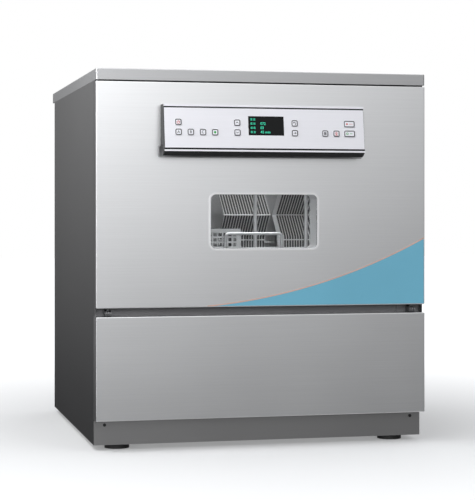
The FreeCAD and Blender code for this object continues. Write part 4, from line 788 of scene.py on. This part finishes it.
def punched(bm, corner, along, upward, width, height):
    """One punched wall from its corner, thickened inward, with its inner faces and hole walls in the second
    material, a painted shade.
    """
    across, rise = punched_lines(width), punched_lines(height)
    columns, rows = len(across) - 1, len(rise) - 1
    sheet = bmesh.new()
    bmesh.ops.create_grid(sheet, x_segments=columns, y_segments=rows, size=0.5)
    holes = []
    for face in sheet.faces:
        middle = face.calc_center_median()
        column = int((middle.x + 0.5) * columns)
        row = int((middle.y + 0.5) * rows)
        if column % 2 and row % 2:
            holes.append(face)
    bmesh.ops.delete(sheet, geom=holes, context="FACES")
    for v in sheet.verts:
        a = across[round((v.co.x + 0.5) * columns)]
        b = rise[round((v.co.y + 0.5) * rows)]
        v.co = Vector(corner) + Vector(along) * a + Vector(upward) * b
    made = bmesh.ops.extrude_face_region(sheet, geom=sheet.faces[:])["geom"]
    inward = Vector(upward).cross(Vector(along)) * SHEET
    bmesh.ops.translate(sheet, verts=only_verts(made), vec=inward)
    # The new faces, inside the wall and around the holes, take the dark second material as painted shade.
    for thing in made:
        if isinstance(thing, bmesh.types.BMFace):
            thing.material_index = 1
    bmesh.ops.recalc_face_normals(sheet, faces=sheet.faces)
    mesh = bpy.data.meshes.new("punched_sheet")
    sheet.to_mesh(mesh)
    sheet.free()
    bm.from_mesh(mesh)
    bpy.data.meshes.remove(mesh)


print("holes", HOLE, "every", HOLE_PITCH)

# %% [markdown]
# Four punched walls and a punched floor make the basket. The side walls and the floor fit between the
# thickness of the front and rear walls, so no two sheets lie in the same place.

# %% Parts basket
near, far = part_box("parts_basket")
parts = far - near
inner_depth = parts.y - 2 * SHEET
upright = (0, 0, 1)
bm = bmesh.new()
punched(bm, near, (1, 0, 0), upright, parts.x, parts.z)
punched(bm, (far.x, far.y, near.z), (-1, 0, 0), upright, parts.x, parts.z)
punched(bm, (near.x, far.y - SHEET, near.z), (0, -1, 0), upright, inner_depth, parts.z)
punched(bm, (far.x, near.y + SHEET, near.z), (0, 1, 0), upright, inner_depth, parts.z)
punched(bm, (near.x + SHEET, far.y - SHEET, near.z), (1, 0, 0), (0, -1, 0), parts.x - 2 * SHEET, inner_depth)
# The dark second finish is painted shade inside the basket and its holes.
piece = piece_from(bm, "parts_basket_sheet", [finishes["basket_sheet"], finishes["pump_plastic"]],
                   "parts_basket", smooth=False)
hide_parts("parts_basket")
print("parts basket", [round(v, 3) for v in parts])

# %% [markdown]
# The upper basket also carries its own spray arm. Water reaches it through a tube under the basket
# that docks in the rear wall, so the hub and the tube are part of the basket. The hub is spun from its
# side view, as a lathe turns it. That is simpler than stacking cylinders, which would have to be joined.
# The two caps are radii and heights in millimetres from the arm's lower and upper face.

# %% Upper basket
FEED_LEVEL = 602.7 * MM
FEED_RADIUS = 7 * MM
FEED_START = 14 * MM
FACE_GAP = 0.3 * MM
BORE = 11 * MM
COLLAR = 16.5 * MM
SEAT = 16 * MM
LOWER_CAP = ((0, -8), (15, -8), (18, -6), (18, -1.5))
UPPER_CAP = ((16, 11), (13, 15.5), (0, 15.5))

arm_low, arm_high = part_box("spray_arm_middle")
hub_y = (arm_low.y + arm_high.y) / 2


def turned(bm, x, y, profile, sides=32):
    """A solid of revolution about an upright axis, from (radius, height) pairs."""
    verts = [bm.verts.new((x + r, y, z)) for r, z in profile]
    edges = [bm.edges.new(pair) for pair in zip(verts, verts[1:])]
    bmesh.ops.spin(bm, geom=verts + edges, cent=(x, y, 0), axis=(0, 0, 1), angle=2 * math.pi, steps=sides,
                   use_merge=True, use_duplicate=False)


below, above = arm_low.z - FACE_GAP, arm_high.z + FACE_GAP
hub = [(r * MM, arm_low.z + z * MM) for r, z in LOWER_CAP]
hub += [(COLLAR, below), (BORE, below), (BORE, above), (SEAT, above)]
hub += [(r * MM, arm_high.z + z * MM) for r, z in UPPER_CAP]
bm = basket("upper_basket")
turned(bm, 0, hub_y, hub)
wire(bm, [(0, hub_y + FEED_START, FEED_LEVEL), (0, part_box("upper_basket")[1].y, FEED_LEVEL)], FEED_RADIUS,
     0, 24)
piece = piece_from(bm, "upper_basket_wires", [finishes["wire_steel"]], "upper_basket")
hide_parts("upper_basket")
print("hub at", round(hub_y, 4))

# %% [markdown]
# Behind the window stand bent screens of thin upright wires, which hold dishes on edge. Every wire of
# a row has the same kinked shape, and a thin sheet can follow the same bends. An Array modifier could
# repeat one wire, but a loop keeps the row's ends and its pitch in plain numbers.

# %% Screen tools
SCREEN_WIRE = 1.1 * MM
SCREEN_ROD = 1.5 * MM
SCREEN_PITCH = 7 * MM
SCREEN_BEND = 4 * MM
ROD_BEHIND = 2 * MM
ROD_INSET = 2 * MM
ROD_UNDER_KNEE = 8 * MM
KNEE = 0.34
KINK = 0.65
BENT_SHEET_THICKNESS = 1 * MM
screen_low, screen_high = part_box("dish_combs")


def screen(bm, x0, x1, foot_y, kink_y, top_y):
    """One row of kinked wires with four cross rods. Returns the side view of its bends."""
    z0 = screen_low.z
    rise = screen_high.z - z0
    knee_z = z0 + rise * KNEE
    kink_z = z0 + rise * KINK
    line = [(foot_y, z0), (foot_y, knee_z), (kink_y, kink_z), (top_y, z0 + rise)]
    for x in steps_between(x0 + SCREEN_WIRE, x1 - SCREEN_WIRE, SCREEN_PITCH):
        wire(bm, [(x, y, z) for y, z in line], SCREEN_WIRE, SCREEN_BEND, 6, 2)
    rods = ((foot_y, z0 + ROD_INSET), (foot_y, knee_z - ROD_UNDER_KNEE), (kink_y, kink_z),
            (top_y, z0 + rise - ROD_INSET))
    for y, z in rods:
        wire(bm, [(x0, y + ROD_BEHIND, z), (x1, y + ROD_BEHIND, z)], SCREEN_ROD, 0, 8)
    return line


def bent_sheet(bm, line, x0, x1, behind, material_index):
    """A thin sheet that follows the bends of a screen."""
    before = len(bm.faces)
    verts = [bm.verts.new((x0, y + behind, z)) for y, z in line]
    edges = [bm.edges.new(pair) for pair in zip(verts, verts[1:])]
    made = bmesh.ops.extrude_edge_only(bm, edges=edges)["geom"]
    bmesh.ops.translate(bm, verts=only_verts(made), vec=(x1 - x0, 0, 0))
    sheet = [g for g in made if isinstance(g, bmesh.types.BMFace)]
    thick = bmesh.ops.extrude_face_region(bm, geom=sheet)["geom"]
    bmesh.ops.translate(bm, verts=only_verts(thick), vec=(0, BENT_SHEET_THICKNESS, 0))
    bm.faces.ensure_lookup_table()
    for face in bm.faces[before:]:
        face.material_index = material_index


print("screens from", round(screen_low.z, 4), "to", round(screen_high.z, 4))

# %% [markdown]
# One row stands just right of the rack's middle, one on its left and one on its right, where the bends
# lie further back. A dark sheet behind each row's wires is painted shade, and a flat bar ends the right
# row. A row is given by its left and right end, and by how far back its foot, its kink and its top lie.

# %% Dish screens
SHADE_SHEET_GAP = 5 * MM
END_BAR = 9 * MM
END_BAR_PROUD = 1 * MM
RACK_HALF = 264 * MM
SIDE_INSET = 12 * MM
KINK_BEHIND_HUB = 101 * MM
FOOT_BEHIND_KINK = 55 * MM
TOP_BEHIND_FOOT = 17 * MM

bm = bmesh.new()
kink = hub_y + KINK_BEHIND_HUB
foot = kink + FOOT_BEHIND_KINK
rows = (
    (0, 118 * MM, foot, kink, foot + TOP_BEHIND_FOOT),
    (-RACK_HALF + SIDE_INSET, -RACK_HALF + 114 * MM, foot, kink, foot + TOP_BEHIND_FOOT),
    (RACK_HALF - 102 * MM, RACK_HALF - SIDE_INSET, foot + 10 * MM, kink + 120 * MM, kink + 48 * MM))
for x0, x1, foot_y, kink_y, top_y in rows:
    line = screen(bm, x0, x1, foot_y, kink_y, top_y)
    # A dark sheet of painted shade just behind the wires of the row.
    bent_sheet(bm, line, x0, x1, SHADE_SHEET_GAP, 1)
    if x0 > 0:
        bent_sheet(bm, line, x0 - END_BAR, x0, -END_BAR_PROUD, 0)
print("screen faces", len(bm.faces))
piece = piece_from(bm, "dish_screens", [finishes["polished_trim"], finishes["frame_steel"]], "lower_basket")
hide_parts("dish_combs")

# %% [markdown]
# The sweep of coloured film in the lower right corner of the door is a flat sheet cut along a large
# circle. A mask in the door's material could colour the same area, but a thin sheet of its own has a
# crisp edge and a finish of its own. It is made as a row of thin strips, each as high as the circle is
# at that place. A narrow strip of a second colour follows the upper edge.

# %% Coloured film
ARC_X = -243 * MM
ARC_Z = 1629.4 * MM
ARC_RADIUS = 1319.3 * MM
FILM_LIFT = 0.12 * MM
EDGE_LIFT = 1.6 * FILM_LIFT
EDGE_WIDTH = 2.6 * MM
FILM_MARGIN = 2 * MM
FILM_END_GAP = 2.2 * MM
BACK_LIFT = 0.02 * MM
skin_low, skin_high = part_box("door_skin")
film_foot = skin_low.z + FILM_MARGIN
film_left = ARC_X + math.sqrt(ARC_RADIUS ** 2 - (ARC_Z - film_foot) ** 2)
film_right = skin_high.x - FILM_END_GAP


def arc_height(x, radius):
    """The height of the arc at x, but never below the foot of the film."""
    return max(ARC_Z - math.sqrt(radius ** 2 - (x - ARC_X) ** 2), film_foot)


def film(name, outer, material, lift, band=None):
    """A sheet between the arc and the lower edge of the door, or a band of even width along the arc."""
    bm = bmesh.new()
    bmesh.ops.create_grid(bm, x_segments=72, y_segments=1, size=0.5)
    for v in bm.verts:
        x = film_left + (film_right - film_left) * (v.co.x + 0.5)
        low = film_foot if band is None else arc_height(x, outer + band)
        v.co = (x, skin_low.y - lift, arc_height(x, outer) if v.co.y > 0 else low)
    made = bmesh.ops.extrude_face_region(bm, geom=bm.faces[:])["geom"]
    bmesh.ops.translate(bm, verts=only_verts(made), vec=(0, lift - BACK_LIFT, 0))
    return piece_from(bm, name, [material], "door", smooth=False)


band_blue = grained("band_blue", (0.175, 0.50, 0.665), 0.35, scale=1200, spread=0.05, bump=0.03)
band_edge = grained("band_edge", (0.72, 0.45, 0.36), 0.35, scale=1200, spread=0.05, bump=0.03)
film("door_film", ARC_RADIUS, band_blue, FILM_LIFT)
film("door_film_edge", ARC_RADIUS - EDGE_WIDTH / 2, band_edge, EDGE_LIFT, band=EDGE_WIDTH)
print("film from", round(film_left, 3), "to", round(film_right, 3))

# %% [markdown]
# The keys are printed with dark outlines and small symbols. All of them sit on the sloping face of
# the control housing, so they are drawn flat first and then laid on the slope with one matrix.

# %% Sloping panel
TILT = math.radians(8.29)
FASCIA = 1.5 * MM
KEY_PROUD = 2.4 * MM
fascia_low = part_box("fascia")[0]
origin = Vector((0, fascia_low.y + FASCIA * math.cos(TILT), fascia_low.z))
up = Vector((0, math.sin(TILT), math.cos(TILT)))
outward = Vector((0, -math.cos(TILT), math.sin(TILT)))


def on_panel(x, level, lift):
    """The matrix that lays a flat drawing on the sloping face."""
    place = origin + Vector((x, 0, 0)) + up * level + outward * lift
    lean = Matrix(((1, up.x, outward.x), (0, up.y, outward.y), (0, up.z, outward.z))).to_4x4()
    return Matrix.Translation(place) @ lean


def level_of(node):
    """Where a key's middle lies on the panel: sideways, and up the slope."""
    low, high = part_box(node)
    middle = (low + high) / 2 - origin
    return (low.x + high.x) / 2, middle.dot(up)


print("panel origin", [round(v, 4) for v in origin])

# %% [markdown]
# Ink is laid as flattened strokes: a rounded outline, straight lines, dots, and letters from Blender's
# own font. A picture on each key would be quicker, but strokes stay sharp from any distance. Each key
# gets one print with two inks, a dark one for the outline and its own for the symbol.

# %% Print tools
BORDER = 1.15 * MM
INK = 0.7 * MM
CORNER = 2.4 * MM
DISC_RISE = 0.3 * MM
PRINT_FLATNESS = 0.35
LETTER_DEPTH = 0.15 * MM
LETTER_BOLD = 0.12 * MM


def border(bm, width, height):
    """The outline of a key. The bend radius of the stroke rounds its corners."""
    a, b = width / 2, height / 2
    wire(bm, [(-a, -b, 0), (a, -b, 0), (a, b, 0), (-a, b, 0)], BORDER, CORNER, 6, 4, closed=True)


def strokes(bm, *lines):
    """Straight strokes of ink through the points of each line, in millimetres."""
    for line in lines:
        for a, b in zip(line, line[1:]):
            wire(bm, [(a[0] * MM, a[1] * MM, 0), (b[0] * MM, b[1] * MM, 0)], INK, 0, 6)


def disc(bm, x, y, radius, sides=20):
    """A filled dot of ink in millimetres, or a diamond where it has four sides."""
    made = bmesh.ops.create_circle(bm, cap_ends=True, segments=sides, radius=radius * MM,
                                   matrix=Matrix.Translation((x * MM, y * MM, 0)))["verts"]
    faces = [f for f in bm.faces if set(f.verts) <= set(made)]
    raised = bmesh.ops.extrude_face_region(bm, geom=faces)["geom"]
    bmesh.ops.translate(bm, verts=only_verts(raised), vec=(0, 0, DISC_RISE))


def arc_points(x, y, radius, start, end, count):
    """Points along an arc, from one angle to another in degrees."""
    angles = [math.radians(start + (end - start) * k / count) for k in range(count + 1)]
    return [(x + radius * math.cos(a), y + radius * math.sin(a)) for a in angles]


def letter(bm, text, size):
    """Text in Blender's own font, as raised print."""
    curve = bpy.data.curves.new("character", "FONT")
    curve.body = text
    curve.size = size
    curve.align_x = "CENTER"
    curve.align_y = "CENTER"
    curve.extrude = LETTER_DEPTH
    curve.offset = LETTER_BOLD
    holder = bpy.data.objects.new("character", curve)
    bpy.context.scene.collection.objects.link(holder)
    bpy.context.view_layer.update()
    mesh = bpy.data.meshes.new_from_object(holder)
    bm.from_mesh(mesh)
    bpy.data.objects.remove(holder)
    bpy.data.meshes.remove(mesh)


def key_drawing(name, draw, ink, width=12.0, height=12.0):
    """The outline and the symbol of one key, as one printed piece on its cap."""
    x, level = level_of(name)
    bm = bmesh.new()
    border(bm, width * MM, height * MM)
    border_faces = len(bm.faces)
    draw(bm)
    bm.faces.ensure_lookup_table()
    for face in bm.faces[border_faces:]:
        face.material_index = 1
    bmesh.ops.scale(bm, verts=bm.verts, vec=(1, 1, PRINT_FLATNESS))
    bmesh.ops.transform(bm, verts=bm.verts, matrix=on_panel(x, level, KEY_PROUD))
    return piece_from(bm, name + "_print", [ink_dark, ink], name)


ink_dark = grained("ink_dark", (0.05, 0.05, 0.055), 0.45)
ink_red = grained("ink_red", (0.62, 0.06, 0.05), 0.4)
ink_green = grained("ink_green", (0.02, 0.36, 0.06), 0.4)
print("inks", ink_dark.name, ink_red.name, ink_green.name)

# %% [markdown]
# Each symbol says what its key does: a broken ring for power, the letters of three programs, arrows,
# a grid for printing. They are drawn in millimetres about the middle of the key. The two wide keys
# have a mark on the left, and short lines on the right in place of small words.


# %% Key symbols
LETTER_SIZE = 8.5 * MM
WIDE_KEY = (22.8, 12.4)


def draw_power(bm):
    strokes(bm, arc_points(0, -0.3, 3.0, 125, 415, 14), [(0, 0.2), (0, 3.6)])


def draw_letter(text):
    return lambda bm: letter(bm, text, LETTER_SIZE)


def draw_dot(bm):
    disc(bm, 0, 0, 2.7)


def draw_up(bm):
    strokes(bm, [(-2.6, -1.2), (0, 1.4), (2.6, -1.2)])


def draw_down(bm):
    strokes(bm, [(-2.6, 1.2), (0, -1.4), (2.6, 1.2)])


def draw_back(bm):
    strokes(bm, arc_points(0, -0.6, 2.6, -80, 120, 9), [(-3.0, 1.6), (-0.6, 2.6)], [(-3.0, 1.6), (-1.0, 0.0)])


def draw_enter(bm):
    strokes(bm, [(-3.0, 0), (2.8, 0)], [(0.8, 1.9), (2.9, 0), (0.8, -1.9)])


def draw_grid(bm):
    for level in (-2.4, 0, 2.4):
        strokes(bm, [(-2.8, level), (2.8, level)], [(level, -2.8), (level, 2.8)])


def draw_service(bm):
    strokes(bm, arc_points(0, 1.2, 1.9, 0, 360, 12), [(0, -0.8), (0, -3.4)], [(-2.8, -3.4), (2.8, -3.4)])


def draw_stop(bm):
    disc(bm, -5.2, 0, 2.5, 4)
    strokes(bm, [(-0.6, 0), (1.0, 0)], [(2.6, 0), (4.2, 0)], [(5.8, 0), (7.4, 0)])


def draw_run(bm):
    strokes(bm, arc_points(-5.2, 0, 2.1, 0, 360, 12), [(0.6, 0), (6.6, 0)])


print("wide keys", WIDE_KEY)

# %% [markdown]
# Every key now gets its print. It rides on the key's own body, so it goes down with the key.

# %% Key prints
key_drawing("key_power", draw_power, ink_red)
for mark in "abc":
    key_drawing("key_program_" + mark, draw_letter(mark.upper()), ink_dark)
key_drawing("key_start", draw_dot, ink_green)
key_drawing("key_up", draw_up, ink_dark)
key_drawing("key_down", draw_down, ink_dark)
key_drawing("key_back", draw_back, ink_dark)
key_drawing("key_enter", draw_enter, ink_dark)
key_drawing("key_print", draw_grid, ink_dark)
key_drawing("key_service", draw_service, ink_red)
key_drawing("key_stop", draw_stop, ink_red, *WIDE_KEY)
key_drawing("key_run", draw_run, ink_green, *WIDE_KEY)

# %% [markdown]
# The display is a black pane with four glowing lines. Each line has two small blocks of three bars as
# its label, and all but the first have a plain number as their value.

# %% Display glow
glow_green = bpy.data.materials.new("display_glow")
glow_green.use_nodes = True
tree = glow_green.node_tree
shader = tree.nodes["Principled BSDF"]
shader.inputs["Emission Strength"].default_value = 0.55
grain = tree.nodes.new("ShaderNodeGroup")
grain.node_tree = fine_grain
grain.inputs["Tone"].default_value = (0.02, 0.50, 0.30, 1)
grain.inputs["Scale"].default_value = 600.0
link(tree, grain, "Color", shader, "Base Color")
link(tree, grain, "Color", shader, "Emission Color")
print("glow", glow_green.name)

# %% [markdown]
# The blocks and numbers are drawn flat about the middle of the display, in one bmesh, and laid just
# above its pane by the same function that places the key prints.

# %% Display figures
DISPLAY_LEVEL = 57.6 * MM
DISPLAY_FACE = 1.75 * MM
LINE_PITCH = 9.4 * MM
LABEL_PLACES = (-33.0 * MM, -26.5 * MM)
LABEL_BARS = (-1.7 * MM, 0, 1.7 * MM)
LABEL_BAR = (4.4 * MM, 0.9 * MM, 0.2 * MM)
FIGURE_SIZE = 8.0 * MM
FIGURE_START = -13.0 * MM
VALUES = ("", "072", "03", "45 min")

display_low, display_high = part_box("display")
display_x = (display_low.x + display_high.x) / 2
bm = bmesh.new()
for row, value in enumerate(VALUES):
    level = ((len(VALUES) - 1) / 2 - row) * LINE_PITCH
    for x in LABEL_PLACES:
        for lift in LABEL_BARS:
            place = Matrix.Translation((x, level + lift, 0)) @ Matrix.Diagonal((*LABEL_BAR, 1))
            bmesh.ops.create_cube(bm, size=1.0, matrix=place)
    if value:
        start = len(bm.verts)
        letter(bm, value, FIGURE_SIZE)
        bm.verts.ensure_lookup_table()
        glyphs = bm.verts[start:]
        left = min(v.co.x for v in glyphs)
        bmesh.ops.translate(bm, verts=glyphs, vec=(FIGURE_START - left, level, 0))
bmesh.ops.transform(bm, verts=bm.verts, matrix=on_panel(display_x, DISPLAY_LEVEL, DISPLAY_FACE))
piece_from(bm, "display_figures", [glow_green], "door", smooth=False)
print("display at", round(display_x, 4))
